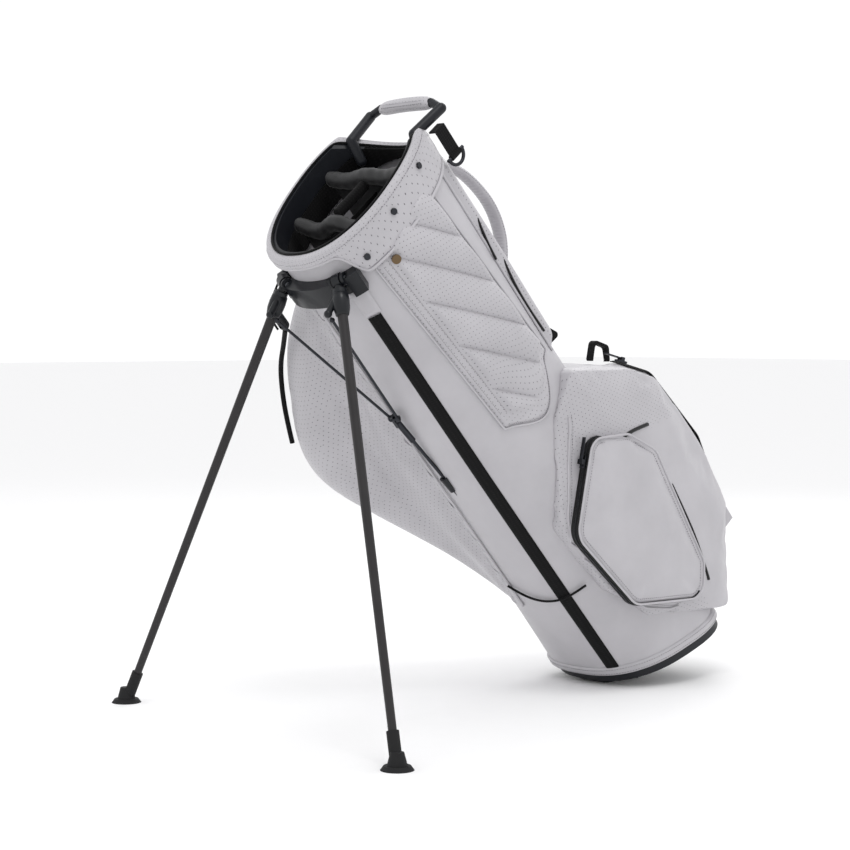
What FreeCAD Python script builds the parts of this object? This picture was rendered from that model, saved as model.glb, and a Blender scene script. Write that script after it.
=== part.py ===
import FreeCAD, Part
import Sketcher
import math
import os

# Golf stand bag, deployed on its two legs. Millimetres, +Z up, origin where the base lever's foot rests on the
# floor. Most pieces are drawn upright in the bag's own frame (X from hip side to spine side, Y across, Z from the
# base to the mouth) and their Placement leans them; the stand's pieces get placements of their own.

V = FreeCAD.Vector
SIZES = {
    # the bag as a whole
    "bag_lean": 41.0, "base_x": 62.0, "base_z": 52.0, "tube_len": 882.0,
    "base_depth": 236.0, "base_width": 224.0, "top_depth": 254.0, "top_width": 214.0,
    "wall": 2.5, "gap": 0.3, "base_slope": -0.384, "mouth_slope": 0.164, "axis_shift": 8.0,
    # mouth
    "ring_thick": 6.0, "ring_tall": 30.0, "cuff_tall": 62.0, "cuff_thick": 9.0, "trim_thick": 3.0, "trim_tall": 34.0,
    "dip_wide": 90.0, "dip_deep": 54.0, "bar_place": 42.0, "bar_dia": 22.0, "bar_drop": 26.0, "web_thick": 2.0, "web_low": 60.0,
    "grip_x": 176.0, "grip_z": 893.0, "grip_len": 108.0, "grip_dia": 22.0, "bail_half": 76.0, "bail_dia": 15.0,
    # stand
    "pivot_x": -110.0, "pivot_y": 58.7, "pivot_z": 816.0, "pin_dia": 8.0, "pin_play": 0.05,
    "foot_x": -659.0, "foot_y": 303.0, "leg_top_dia": 14.0, "leg_low_dia": 11.0, "leg_wall": 1.2,
    "hub_dia": 20.0, "hub_thick": 12.0, "hub_len": 46.0, "horn_dia": 9.0,
    "horn_x": -155.0, "horn_y": 64.0, "horn_z": 797.0, "foot_dia": 42.0, "foot_tall": 12.0, "sleeve_len": 26.0,
    "fork_x": -124.0, "fork_z": 580.0, "entry_x": -110.0, "entry_z": 434.0, "rod_dia": 5.0, "rod_end": 90.0,
    "rod_gap": 9.0, "lever_front": -20.0, "lever_long": 70.0, "lever_thick": 6.0, "lever_wide": 52.0,
    "lever_axis_z": 12.5, "lever_pin_dia": 5.0, "lug_out": 15.0, "base_tall": 14.0,
    # luggage
    "quilt_thick": 9.0, "strip_wide": 22.0, "strip_thick": 1.6, "gusset_half": 117.0, "ball_back": 250.0,
    "ball_half": 84.0, "side_thick": 20.0, "zip_wide": 11.0, "zip_thick": 3.0, "loop_dia": 26.0,
    "ring_dia": 34.0, "ring_wire": 5.0,
}

doc = FreeCAD.newDocument("stand_bag")
sheet = doc.addObject("Spreadsheet::Sheet", "sizes")
for row, (alias, number) in enumerate(SIZES.items(), start=1):
    sheet.set("A%d" % row, alias)
    sheet.set("B%d" % row, str(number))
    sheet.setAlias("B%d" % row, alias)
doc.recompute()


def size(alias):
    return float(getattr(sheet, alias))


LEAN = FreeCAD.Placement(V(size("base_x"), 0, size("base_z")), FreeCAD.Rotation(V(0, 1, 0), -size("bag_lean")))
SIDES = (("left", -1.0), ("right", 1.0))
NODES = []


def keep(obj, label, place=LEAN):
    obj.Label = label
    obj.Placement = place.multiply(obj.Placement)
    NODES.append(obj)
    return obj


def feature(label, shape, place=LEAN):
    obj = doc.addObject("Part::Feature", label)
    obj.Shape = shape
    return keep(obj, label, place)


def bind(obj, **sizes):
    for name, expression in sizes.items():
        obj.setExpression(name, "sizes." + expression if expression.isidentifier() else expression)
    return obj


def between(low, high, share):
    return low + (high - low) * share


# ---------------------------------------------------------------- the tube's cross-section

def tube_values(z):
    share = max(0.0, min(1.0, z / size("tube_len")))
    middle = between(size("axis_shift"), size("axis_shift") + 7.0, min(1.0, share * 2))
    deep = between(size("base_depth"), size("top_depth"), min(1.0, share * 2)) / 2
    wide = between(size("base_width"), size("top_width"), min(1.0, share * 2)) / 2
    power = between(2.6, 2.3, min(1.0, share * 4))
    return middle, deep, wide, power


def tube_point(z, angle, out=0.0, slope=0.0):
    middle, deep, wide, power = tube_values(z)
    c = math.cos(math.radians(angle))
    s = math.sin(math.radians(angle))
    x = (deep + out) * math.copysign(abs(c) ** (2 / power), c)
    y = (wide + out) * math.copysign(abs(s) ** (2 / power), s)
    return V(middle + x, y, z + slope * x)


def tube_arc(z, low, high, out, slope=0.0, points=9):
    curve = Part.BSplineCurve()
    curve.interpolate([tube_point(z, between(low, high, i / (points - 1)), out, slope) for i in range(points)])
    return curve.toShape()


def tube_ring(z, out, slope=0.0, points=24):
    curve = Part.BSplineCurve()
    curve.interpolate([tube_point(z, 360.0 * i / points, out, slope) for i in range(points)], PeriodicFlag=True)
    return Part.Wire([curve.toShape()])


def patch(levels, low, high, inner, outer, points=9):
    """A slab that follows the tube: levels are (height, slope), between two angles and two offsets."""
    wires = []
    for z, slope in levels:
        first = tube_arc(z, low, high, outer, slope, points)
        second = tube_arc(z, low, high, inner, slope, points)
        sides = [Part.LineSegment(first.valueAt(first.LastParameter), second.valueAt(second.LastParameter)),
                 Part.LineSegment(second.valueAt(second.FirstParameter), first.valueAt(first.FirstParameter))]
        wires.append(Part.Wire([first, sides[0].toShape(), second, sides[1].toShape()]))
    return Part.makeLoft(wires, True, True)


def tube_solid(levels, out):
    return Part.makeLoft([tube_ring(z, out, slope) for z, slope in levels], True, True)


def hoop(levels, inner, outer):
    return tube_solid(levels, outer).cut(tube_solid(spread(levels), inner))


def spread(levels):
    """The same levels, with the two end ones moved out so that a cut runs past both ends."""
    (z0, s0), (z1, s1) = levels[0], levels[-1]
    return [(z0 - 1.0, s0)] + list(levels[1:-1]) + [(z1 + 1.0, s1)]


def slope_at(z):
    """How far the sewn panels' cross lines tilt at a height: with the base, then square, then with the mouth."""
    share = z / size("tube_len")
    table = [(0.0, size("base_slope")), (0.125, -0.24), (0.25, -0.12), (0.5, 0.0), (0.75, 0.05),
             (1.0, size("mouth_slope"))]
    for (low, first), (high, second) in zip(table, table[1:]):
        if share <= high:
            return between(first, second, (share - low) / (high - low))
    return table[-1][1]


def levels_between(low, high):
    """Heights for a piece that follows the panels, with every height where their shape changes."""
    inside = [share * size("tube_len") for share in (0.0, 0.125, 0.25, 0.5, 0.75, 1.0)]
    heights = [low] + [z for z in inside if low + 5.0 < z < high - 5.0] + [high]
    return [(z, slope_at(z)) for z in heights]


def outline(points):
    """A closed face from corner points and radii, (x, z, radius), in the X-Z plane."""
    edges = []
    count = len(points)
    ends = []
    for i in range(count):
        before, here, after = (V(p[0], 0, p[1]) for p in (points[i - 1], points[i], points[(i + 1) % count]))
        a = (before - here).normalize()
        b = (after - here).normalize()
        half = a.getAngle(b) / 2
        run = points[i][2] / math.tan(half)
        start = here + a * run
        end = here + b * run
        middle = (a + b).normalize()
        centre = here + middle * (points[i][2] / math.sin(half))
        ends.append((start, centre - middle * points[i][2], end))
    for i in range(count):
        edges.append(Part.Arc(*ends[i]).toShape())
        edges.append(Part.LineSegment(ends[i][2], ends[(i + 1) % count][0]).toShape())
    return Part.Face(Part.Wire(edges))


def slab(points, y0, y1):
    face = outline(points)
    face.translate(V(0, y0, 0))
    return face.extrude(V(0, y1 - y0, 0))


def rod(start, end, radius):
    return Part.makeCylinder(radius, (end - start).Length, start, end - start)


def smooth_path(points):
    """Straight runs joined by tangent arcs, each as large as its two runs allow. Prints the radii."""
    edges = []
    radii = []
    last = points[0]
    for i in range(1, len(points) - 1):
        a = points[i - 1] - points[i]
        b = points[i + 1] - points[i]
        turn = math.pi - a.getAngle(b)
        reach = 0.45 * min(a.Length, b.Length)
        radii.append(reach / math.tan(turn / 2))
        a.normalize()
        b.normalize()
        start = points[i] + a * reach
        end = points[i] + b * reach
        middle = (a + b).normalize()
        depth = radii[-1] / math.cos(turn / 2) - radii[-1]
        edges.append(Part.LineSegment(last, start).toShape())
        edges.append(Part.Arc(start, points[i] + middle * depth, end).toShape())
        last = end
    edges.append(Part.LineSegment(last, points[-1]).toShape())
    return Part.Wire(edges), radii


def cord(label, points, radius, place=LEAN):
    path, radii = smooth_path(points)
    section = Part.Wire([Part.Circle(points[0], points[1] - points[0], radius).toShape()])
    tube = path.makePipeShell([section], True, False)
    print(label, "length %.0f" % path.Length, "radii", ["%.1f" % r for r in radii],
          "volume ratio %.4f" % (tube.Volume / (math.pi * radius ** 2 * path.Length)))
    return feature(label, tube, place)


# ---------------------------------------------------------------- bound sketches and primitives

def derived(alias, formula):
    """A worked-out size, kept in the sheet beside the driving ones."""
    global row
    row += 1
    sheet.set("A%d" % row, alias)
    sheet.set("B%d" % row, "=" + formula)
    sheet.setAlias("B%d" % row, alias)
    sheet.recompute()
    return alias


def sketch(body, role, name):
    plane = [item for item in body.Origin.OriginFeatures if item.Role == role][0]
    drawing = body.newObject("Sketcher::SketchObject", name)
    drawing.AttachmentSupport = [(plane, "")]
    drawing.MapMode = "FlatFace"
    return drawing


def polygon(drawing, corners):
    """A closed outline whose corners are pairs of sheet aliases; None keeps a corner on that axis."""
    places = [tuple(size(alias) if alias else 0.0 for alias in corner) for corner in corners]
    count = len(corners)
    for i in range(count):
        drawing.addGeometry(Part.LineSegment(V(*places[i], 0), V(*places[(i + 1) % count], 0)), False)
    for i in range(count):
        drawing.addConstraint(Sketcher.Constraint("Coincident", i, 2, (i + 1) % count, 1))
    for i, corner in enumerate(corners):
        for kind, on_axis, alias, place in (("DistanceX", -2, corner[0], places[i][0]),
                                            ("DistanceY", -1, corner[1], places[i][1])):
            if alias is None:
                drawing.addConstraint(Sketcher.Constraint("PointOnObject", i, 1, on_axis))
                continue
            index = drawing.addConstraint(Sketcher.Constraint(kind, -1, 1, i, 1, place))
            drawing.setExpression("Constraints[%d]" % index, "sizes." + alias)


def circle(drawing, alias_dia, centre=(None, None)):
    place = [size(alias) if alias else 0.0 for alias in centre]
    drawing.addGeometry(Part.Circle(V(*place, 0), V(0, 0, 1), size(alias_dia) / 2), False)
    index = drawing.addConstraint(Sketcher.Constraint("Diameter", 0, size(alias_dia)))
    drawing.setExpression("Constraints[%d]" % index, "sizes." + alias_dia)
    for kind, on_axis, alias, number in (("DistanceX", -2, centre[0], place[0]),
                                         ("DistanceY", -1, centre[1], place[1])):
        if alias is None:
            drawing.addConstraint(Sketcher.Constraint("PointOnObject", 0, 3, on_axis))
            continue
        index = drawing.addConstraint(Sketcher.Constraint(kind, -1, 1, 0, 3, number))
        drawing.setExpression("Constraints[%d]" % index, "sizes." + alias)


def padded_body(label, role, corners, thick, place):
    """A flat piece: its outline padded by a bound thickness, half each side of its plane."""
    body = doc.addObject("PartDesign::Body", label)
    drawing = sketch(body, role, label + "_outline")
    polygon(drawing, corners)
    pad = body.newObject("PartDesign::Pad", label + "_pad")
    pad.Profile = drawing
    pad.Midplane = True
    pad.setExpression("Length", "sizes." + thick)
    doc.recompute()
    return keep(body, label, place)


def drill(body, role, alias_dia, centre):
    drawing = sketch(body, role, body.Label + "_hole")
    circle(drawing, alias_dia, centre)
    pocket = body.newObject("PartDesign::Pocket", body.Label + "_bore")
    pocket.Profile = drawing
    pocket.Type = "ThroughAll"
    pocket.Midplane = True
    before = body.Shape.Volume
    doc.recompute()
    if not body.Shape.Volume < before:
        raise RuntimeError(body.Label + ": the bore cuts nothing")


# ---------------------------------------------------------------- shell, base and mouth

def rim_dip(room=0.0):
    """A round notch through the spine side of the rim, under the handle."""
    wide = size("dip_wide")
    deep = size("dip_deep")
    radius = (wide ** 2 + deep ** 2) / (2 * deep)
    low = size("tube_len") + 23.0 - deep
    return Part.makeCylinder(radius - room, 180.0, V(60.0, 0, low + radius), V(1, 0, 0))


def build_shell():
    wall = size("wall")
    levels = levels_between(0.0, size("tube_len"))
    middles = {"shell_back": 0.0, "shell_right": 90.0, "shell_front": 180.0, "shell_left": 270.0}
    for label, middle in middles.items():
        shape = patch(levels, middle - 45, middle + 45, -wall, 0.0, 13)
        if label == "shell_front":
            low = V(size("entry_x"), 0, size("entry_z"))
            run = V(size("fork_x"), 0, size("fork_z")) - low
            shape = shape.cut(rod(low - run, low + run, size("rod_dia") / 2 + 2.0))
        else:
            shape = shape.cut(rim_dip())
        feature(label, shape)


def build_stays():
    inside = -size("wall") - 6.0
    solids = []
    for angle in (78.0, -78.0):
        low = tube_point(30.0, angle, inside)
        high = tube_point(size("tube_len") - 80.0, angle, inside)
        solids.append(rod(low, high, 2.5))
    feature("stays", Part.makeCompound(solids))


def build_base():
    slope = size("base_slope")
    deep = -size("base_tall")
    cup = tube_solid([(deep, slope), (deep / 2, slope), (0.0, slope)], -3.0)
    hollow = tube_solid([(deep + 6.0, slope), (2.0, slope)], -7.0)
    # two lugs under the floor of the base carry the lever's pin
    inner = 8.0
    axis_z = size("lever_axis_z")
    for sign in (-1, 1):
        low = min(sign * inner, sign * size("lug_out"))
        lug = Part.makeBox(11.0, size("lug_out") - inner, 14.0, V(-5.5, low, axis_z - 4.0))
        lug.Placement = LEAN.inverse()
        cup = cup.fuse(lug)
    bore = Part.makeCylinder(size("lever_pin_dia") / 2, 60.0, V(0, -30, axis_z), V(0, 1, 0))
    bore.Placement = LEAN.inverse()
    feature("base_shell", cup.cut([hollow, bore]))
    feature("base_band", hoop([(1.0, slope), (15.0, slope)], size("gap"), 2.5))


def build_mouth():
    top = size("tube_len")
    slope = size("mouth_slope")
    inner = -size("wall") - size("gap")
    ring = hoop([(top - size("ring_tall"), slope), (top - 1.0, slope)], inner - size("ring_thick"), inner)
    feature("top_ring", ring.cut(rim_dip()))
    levels = [(top - size("cuff_tall"), slope * 0.8), (top - size("cuff_tall") * 0.5, slope), (top, slope)]
    notch = Part.makeBox(140.0, 180.0, 145.0, V(-202.0, -90.0, size("pivot_z") - 116.0))
    feature("cuff", hoop(levels, size("gap"), size("cuff_thick")).cut([notch, rim_dip()]))
    trim = inner - size("ring_thick")
    low = top - size("ring_tall") - size("trim_tall")
    lining = hoop([(low, slope), (top - size("ring_tall") - 1.0, slope)], trim, trim + size("trim_thick"))
    feature("inner_trim", lining.cut(rim_dip()))


def cuff_space():
    """The room that the cuff takes, filled right through, with a gap all round."""
    top = size("tube_len")
    slope = size("mouth_slope")
    low = top - size("cuff_tall") - size("gap")
    return tube_solid([(low, slope * 0.8), (low + size("cuff_tall") / 2, slope), (top + 30.0, slope)],
                      size("cuff_thick") + size("gap"))


def bar_span(x):
    """Half the clear width of the mouth at a divider, inside the ring."""
    middle, deep, wide, power = tube_values(size("tube_len"))
    out = -size("wall") - size("gap") - size("ring_thick") - 6.0
    share = min(0.98, (abs(x - middle) + size("bar_dia") / 2) / (deep + out))
    return (wide + out) * (1 - share ** power) ** (1 / power)


def build_dividers():
    radius = size("bar_dia") / 2
    middle = tube_values(size("tube_len"))[0]
    place = size("bar_place")
    web = size("web_thick") / 2
    low = size("web_low")
    for name, x in (("front", middle - place), ("back", middle + place)):
        z = size("tube_len") + size("mouth_slope") * (x - middle) - size("bar_drop")
        half = bar_span(x)
        feature("bar_" + name, rod(V(x, -half, z), V(x, half, z), radius))
        wide = half - 4.0
        feature("web_" + name, Part.makeBox(2 * web, 2 * wide, z - radius - low, V(x - web, -wide, low)))
    z = size("tube_len") - size("bar_drop")
    ends = [V(middle - place + radius + 0.5, 0, z), V(middle + place - radius - 0.5, 0, z)]
    feature("bar_centre", rod(ends[0], ends[1], radius * 0.7))
    start = middle - place + web + 0.5
    top = z - size("mouth_slope") * place - radius - 1.0
    feature("web_centre", Part.makeBox(2 * (place - web) - 1.0, 2 * web, top - low, V(start, -web, low)))


def build_handle():
    grip = V(size("grip_x"), 0, size("grip_z"))
    half = size("bail_half")
    radius = size("bail_dia") / 2
    solids = []
    for sign in (-1, 1):
        spots = [V(105, sign * 62, 856), V(113, sign * 68, 886), V(grip.x - 8.0, sign * half, grip.z - 6.0)]
        inside = V(grip.x, sign * size("grip_len") / 2, grip.z)
        for low, high in zip(spots, spots[1:]):
            solids += [rod(low, high, radius), Part.makeSphere(radius, low), Part.makeSphere(radius, high)]
        solids.append(rod(spots[-1], inside, radius * 0.8))
    bail = solids[0].multiFuse(solids[1:])
    core = rod(V(grip.x, -size("grip_len") / 2, grip.z), V(grip.x, size("grip_len") / 2, grip.z), radius * 0.8)
    bail = bail.fuse(core).removeSplitter()
    inner = -size("wall") - size("ring_thick") - 2 * size("gap")
    rim = hoop([(size("tube_len") - size("cuff_tall"), size("mouth_slope") * 0.8),
                (size("tube_len"), size("mouth_slope"))], inner, size("cuff_thick") + size("gap"))
    feature("handle_frame", bail.cut(rim.cut(rim_dip(size("gap")))))
    sleeve = rod(V(grip.x, -size("grip_len") / 2 + 1.0, grip.z), V(grip.x, size("grip_len") / 2 - 1.0, grip.z),
                 size("grip_dia") / 2)
    feature("handle_grip", sleeve.cut(core))


# ---------------------------------------------------------------- stand

def spot(x, y, z):
    """A place given in the bag's own frame, as a place in the part's frame."""
    return LEAN.multVec(V(x, y, z))


def turned(vector, axis, degrees):
    return FreeCAD.Rotation(axis, degrees).multVec(vector)


def stand_side(sign):
    """Every line and angle of one side's linkage, deployed and folded, in the part's frame."""
    pivot = spot(size("pivot_x"), sign * size("pivot_y"), size("pivot_z"))
    foot = V(size("foot_x"), sign * size("foot_y"), 0)
    stored = spot(size("pivot_x") - 40.0, sign * (size("pivot_y") + 41.3), size("pivot_z") - 650.0)
    down = (foot - pivot).normalize()
    folded = (stored - pivot).normalize()
    axis = down.cross(folded).normalize()
    fold = math.degrees(down.getAngle(folded))
    horn = spot(size("horn_x"), sign * size("horn_y"), size("horn_z"))
    fork = spot(size("fork_x"), sign * 7.5, size("fork_z"))
    entry = spot(size("entry_x"), sign * 7.5, size("entry_z"))
    along = (entry - fork).normalize()
    raised = pivot + turned(horn - pivot, axis, fold)
    reach = (raised - fork).dot(along)
    slide = reach + math.sqrt(reach ** 2 - (raised - fork).Length ** 2 + (horn - fork).Length ** 2)
    rod_line = (horn - fork).normalize()
    rod_after = (raised - fork - along * slide).normalize()
    swing_axis = rod_line.cross(rod_after).normalize()
    swing = math.degrees(rod_line.getAngle(rod_after))
    return {"pivot": pivot, "foot": foot, "stored": stored, "down": down, "axis": axis, "fold": fold,
            "horn": horn, "fork": fork, "along": along, "slide": slide, "rod_line": rod_line, "swing_axis": swing_axis, "swing": swing}


def upright_frame(origin, up, across):
    """A placement with Z along up and Y as near across as that allows."""
    return FreeCAD.Placement(origin, FreeCAD.Rotation(V(0, 0, 0), across, up, "ZYX"))


def build_leg(name, sign):
    side = stand_side(sign)
    frame = upright_frame(side["pivot"], side["down"] * -1, side["axis"])
    length = (side["foot"] - side["pivot"]).Length
    low = size("foot_tall") + size("sleeve_len")
    # the hub: a disc on the pin, a socket for the tube and the horn that the link rod pulls
    disc = Part.makeCylinder(size("hub_dia") / 2, size("hub_thick"), V(0, -size("hub_thick") / 2, 0), V(0, 1, 0))
    socket = Part.makeCylinder(size("leg_top_dia") / 2 + 2.5, size("hub_len") - 13.0, V(0, 0, -size("hub_len")))
    neck = Part.makeCylinder(size("hub_thick") / 2, 18.0, V(0, 0, -18.0))
    horn = frame.inverse().multVec(side["horn"])
    arm = rod(V(0, 0, -14), horn, size("horn_dia") / 2)
    hub = disc.fuse([socket, neck, arm, Part.makeSphere(size("horn_dia") / 2 + 1.0, horn)])
    bore = Part.makeCylinder(size("pin_dia") / 2 + size("pin_play"), 60, V(0, -30, 0), V(0, 1, 0))
    inside = Part.makeCylinder(size("leg_top_dia") / 2, size("hub_len") - 16.0, V(0, 0, -size("hub_len")))
    feature("leg_hub_" + name, hub.cut([bore, inside]), frame)
    # the tube: a long cone bored to a constant wall
    tube = doc.addObject("Part::Cut", "tube_" + name)
    tube_len = length - low - 16.0
    parts = []
    for kind, shrink in (("skin", 0.0), ("hollow", size("leg_wall"))):
        cone = doc.addObject("Part::Cone", "%s_%s" % (kind, name))
        wall = "" if kind == "skin" else " - sizes.leg_wall"
        cone.Height = tube_len
        cone.setExpression("Radius1", "sizes.leg_low_dia / 2" + wall)
        cone.setExpression("Radius2", "sizes.leg_top_dia / 2" + wall)
        parts.append(cone)
    tube.Base, tube.Tool = parts
    doc.recompute()
    tube.Placement = FreeCAD.Placement(V(0, 0, low - length), FreeCAD.Rotation())
    keep(tube, "leg_tube_" + name, frame)
    build_leg_foot(name, side, frame, length, low)


def build_leg_foot(name, side, frame, length, low):
    """A rubber foot: a flared disc flat on the floor, and a sleeve that grips the tube's end."""
    wide = size("foot_dia") / 2
    tall = size("foot_tall")
    disc = Part.makeCone(wide, wide - 4.0, tall * 0.45).fuse(
        Part.makeCone(wide - 8.0, size("leg_low_dia") / 2 + 3.0, tall * 1.4, V(0, 0, tall * 0.45 - 0.5)))
    disc.translate(side["foot"])
    sleeve = Part.makeCylinder(size("leg_low_dia") / 2 + 2.5, low + 6.0, V(0, 0, 4.0 - length))
    sleeve.Placement = frame
    socket = Part.makeCylinder(size("leg_low_dia") / 2 + 0.15, low, V(0, 0, low - length))
    socket.Placement = frame
    floor = Part.makeBox(200, 200, 40, side["foot"] - V(100, 100, 40))
    feature("leg_foot_" + name, disc.fuse(sleeve).cut([socket, floor]), FreeCAD.Placement())


def build_bracket():
    """A yoke on the hip side, under the cuff, notched for the hubs and for the legs' swing."""
    low = size("pivot_z") - 14.0
    shape = patch([(low, slope_at(low)), (low + 34.0, slope_at(low + 34.0))], 138.0, 222.0, size("gap"), 17.0, 13)
    pins = []
    room = 1.8
    cutters = []
    for name, sign in SIDES:
        side = stand_side(sign)
        frame = LEAN.inverse().multiply(upright_frame(side["pivot"], side["down"] * -1, side["axis"]))
        half = size("hub_thick") / 2 + room
        around = Part.makeCylinder(size("hub_dia") / 2 + 2.0, 2 * half, V(0, -half, 0), V(0, 1, 0))
        around.Placement = frame
        cutters.append(around)
        # the legs' swing: the neck close to the pin, the wider socket beyond it
        beside = size("leg_top_dia") / 2 + 2.5 + room
        for step in range(7):
            swing = FreeCAD.Placement(V(0, 0, 0), FreeCAD.Rotation(V(0, 1, 0), side["fold"] * step / 6))
            neck = Part.makeBox(18.0, 2 * half, 80.0, V(-9.0, -half, -80.0))
            socket = Part.makeBox(2 * beside, 2 * beside, 80.0, V(-beside, -beside, -91.5))
            for cutter in (neck, socket):
                cutter.Placement = frame.multiply(swing)
                cutters.append(cutter)
            horn = frame.inverse().multVec(LEAN.inverse().multVec(side["horn"]))
            arm = rod(V(0, 0, -14), horn, size("horn_dia") / 2 + room)
            arm.Placement = frame.multiply(swing)
            cutters.append(arm)
        pin = Part.makeCylinder(size("pin_dia") / 2, size("hub_thick") + 14.0,
                                V(0, -size("hub_thick") / 2 - 7.0, 0), V(0, 1, 0))
        pin.Placement = frame
        pins.append(pin)
        lug = Part.makeCylinder(9.0, 4.0, V(0, half, 0), V(0, 1, 0))
        other = Part.makeCylinder(9.0, 4.0, V(0, -half - 4.0, 0), V(0, 1, 0))
        for piece in (lug, other):
            piece.Placement = frame
            shape = shape.fuse(piece)
    shape = shape.cut(cutters)
    inside = tube_solid(levels_between(low - 40.0, size("tube_len") - 1.0), size("gap"))
    shape = shape.cut(inside).cut([pin for pin in pins])
    solids = sorted(shape.Solids, key=lambda solid: -solid.Volume)
    print("leg_bracket solids", ["%.0f" % solid.Volume for solid in solids])
    feature("leg_bracket", solids[0] if solids[0].Volume > 0.97 * shape.Volume else shape)
    feature("leg_pins", Part.makeCompound([pin.cut(inside) for pin in pins]))


def build_rods():
    fork = V(size("fork_x"), 0, size("fork_z"))
    entry = V(size("entry_x"), 0, size("entry_z"))
    along = (entry - fork).normalize()
    end = fork + along * ((fork.z - size("rod_end")) / -along.z)
    radius = size("rod_dia") / 2
    block = Part.makeBox(9.0, 6.0, 20.0, V(fork.x - 4.5, -3.0, fork.z - 14.0))
    push = rod(fork, end, radius).fuse([block, rod(fork + along * 8.0, fork + along * 46.0, 4.5)])
    for name, sign in SIDES:
        side = stand_side(sign)
        frame = upright_frame(side["fork"], side["rod_line"], side["swing_axis"])
        local = LEAN.inverse().multiply(frame)
        inward = -1 if local.Rotation.multVec(V(0, 1, 0)).y * sign > 0 else 1
        pin = Part.makeCylinder(2.0, 12.0, V(0, 3.5 * -inward, 0), V(0, inward, 0))
        pin.Placement = local
        push = push.fuse(pin)
        length = (side["horn"] - side["fork"]).Length - size("rod_gap")
        link = Part.makeCylinder(radius * 0.8, length - 4.0, V(0, 0, 4.0))
        link = link.fuse([Part.makeCylinder(4.6, 5.0, V(0, -2.5, 0), V(0, 1, 0)), Part.makeSphere(3.6, V(0, 0, length - 3.6))])
        bore = Part.makeCylinder(2.0 + size("pin_play"), 12.0, V(0, -6.0, 0), V(0, 1, 0))
        feature("link_rod_" + name, link.cut(bore), frame)
    rings = []
    for name, sign in SIDES:
        side = stand_side(sign)
        local = LEAN.inverse().multiply(upright_frame(side["fork"], side["rod_line"], side["swing_axis"]))
        ring = Part.makeCylinder(5.0, 6.0, V(0, -3.0, 0), V(0, 1, 0)).cut(
            Part.makeCylinder(2.0, 6.0, V(0, -3.0, 0), V(0, 1, 0)))
        ring.Placement = local
        rings.append(ring)
    feature("push_rod", push.cut(rings))
    boot = rod(entry - along * 22.0, entry + along * 4.0, radius + 4.0)
    bore = rod(entry - along * 40.0, entry + along * 20.0, radius + 0.6)
    tube = tube_solid(levels_between(entry.z - 60.0, entry.z + 60.0), size("gap"))
    feature("rod_boot", boot.cut([bore, tube]))


def build_lever():
    """The hinged plate that the bag stands on, with two ears outside the base's lugs, and its pin."""
    derived("lever_end", "lever_front + lever_long")
    derived("ear_top", "lever_axis_z + lever_pin_dia / 2 + 1.5")
    derived("ear_back", "lever_pin_dia + 2")
    derived("ear_front", "-lever_pin_dia")
    derived("lug_space", "2 * (lug_out + gap)")
    derived("lever_bore", "lever_pin_dia + 2 * pin_play")
    world = FreeCAD.Placement()
    body = padded_body("base_lever", "XZ_Plane",
                       [("lever_front", None), ("lever_end", None), ("lever_end", "lever_thick"),
                        ("ear_back", "lever_thick"), ("ear_back", "ear_top"), ("ear_front", "ear_top"),
                        ("ear_front", "lever_thick"), ("lever_front", "lever_thick")], "lever_wide", world)
    derived("slot_top", "ear_top + 2")
    derived("slot_back", "ear_back + 1")
    derived("slot_front", "-slot_back")
    drawing = sketch(body, "XZ_Plane", "base_lever_slot")
    polygon(drawing, [("slot_front", "lever_thick"), ("slot_back", "lever_thick"),
                      ("slot_back", "slot_top"), ("slot_front", "slot_top")])
    slot = body.newObject("PartDesign::Pocket", "base_lever_between_ears")
    slot.Profile = drawing
    slot.Midplane = True
    slot.setExpression("Length", "sizes.lug_space")
    doc.recompute()
    drill(body, "XZ_Plane", "lever_bore", (None, "lever_axis_z"))
    pin = doc.addObject("Part::Cylinder", "lever_pin")
    bind(pin, Radius="sizes.lever_pin_dia / 2", Height="lever_wide")
    pin.Placement = FreeCAD.Placement(V(0, size("lever_wide") / 2, size("lever_axis_z")),
                                      FreeCAD.Rotation(V(1, 0, 0), 90))
    keep(pin, "lever_pin", world)


# ---------------------------------------------------------------- luggage and trim

def build_strip():
    """Webbing that runs down the near side of the hip face, and the leather tab over its top."""
    middle = 211.5
    half = math.degrees(size("strip_wide") / 2 / 112.0)
    top = size("pivot_z") - 60.0
    feature("side_strip", patch(levels_between(18.0, top), middle - half, middle + half,
                                size("gap"), size("gap") + size("strip_thick"), 5))
    feature("strip_cover", patch(levels_between(top + 0.5, top + 44.0), middle - 7, middle + 7, size("gap"), 2.5, 5))


def build_quilt():
    """The channelled pocket on the near side: wide at the top, cut off on a slant below."""
    thick = size("quilt_thick")
    whole = patch(levels_between(430.0, size("tube_len") - 8.0), 228.0, 306.0, size("gap"), thick, 13)
    shape = outline([(-75.0, 846.0, 10.0), (62.0, 868.0, 10.0), (90.0, 530.0, 14.0), (26.0, 464.0, 12.0),
                     (-42.0, 486.0, 14.0)])
    shape.translate(V(0, -200, 0))
    whole = whole.common(shape.extrude(V(0, 200, 0))).cut(cuff_space())
    feature("quilt_pocket", sorted(whole.Solids, key=lambda solid: -solid.Volume)[0])


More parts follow.
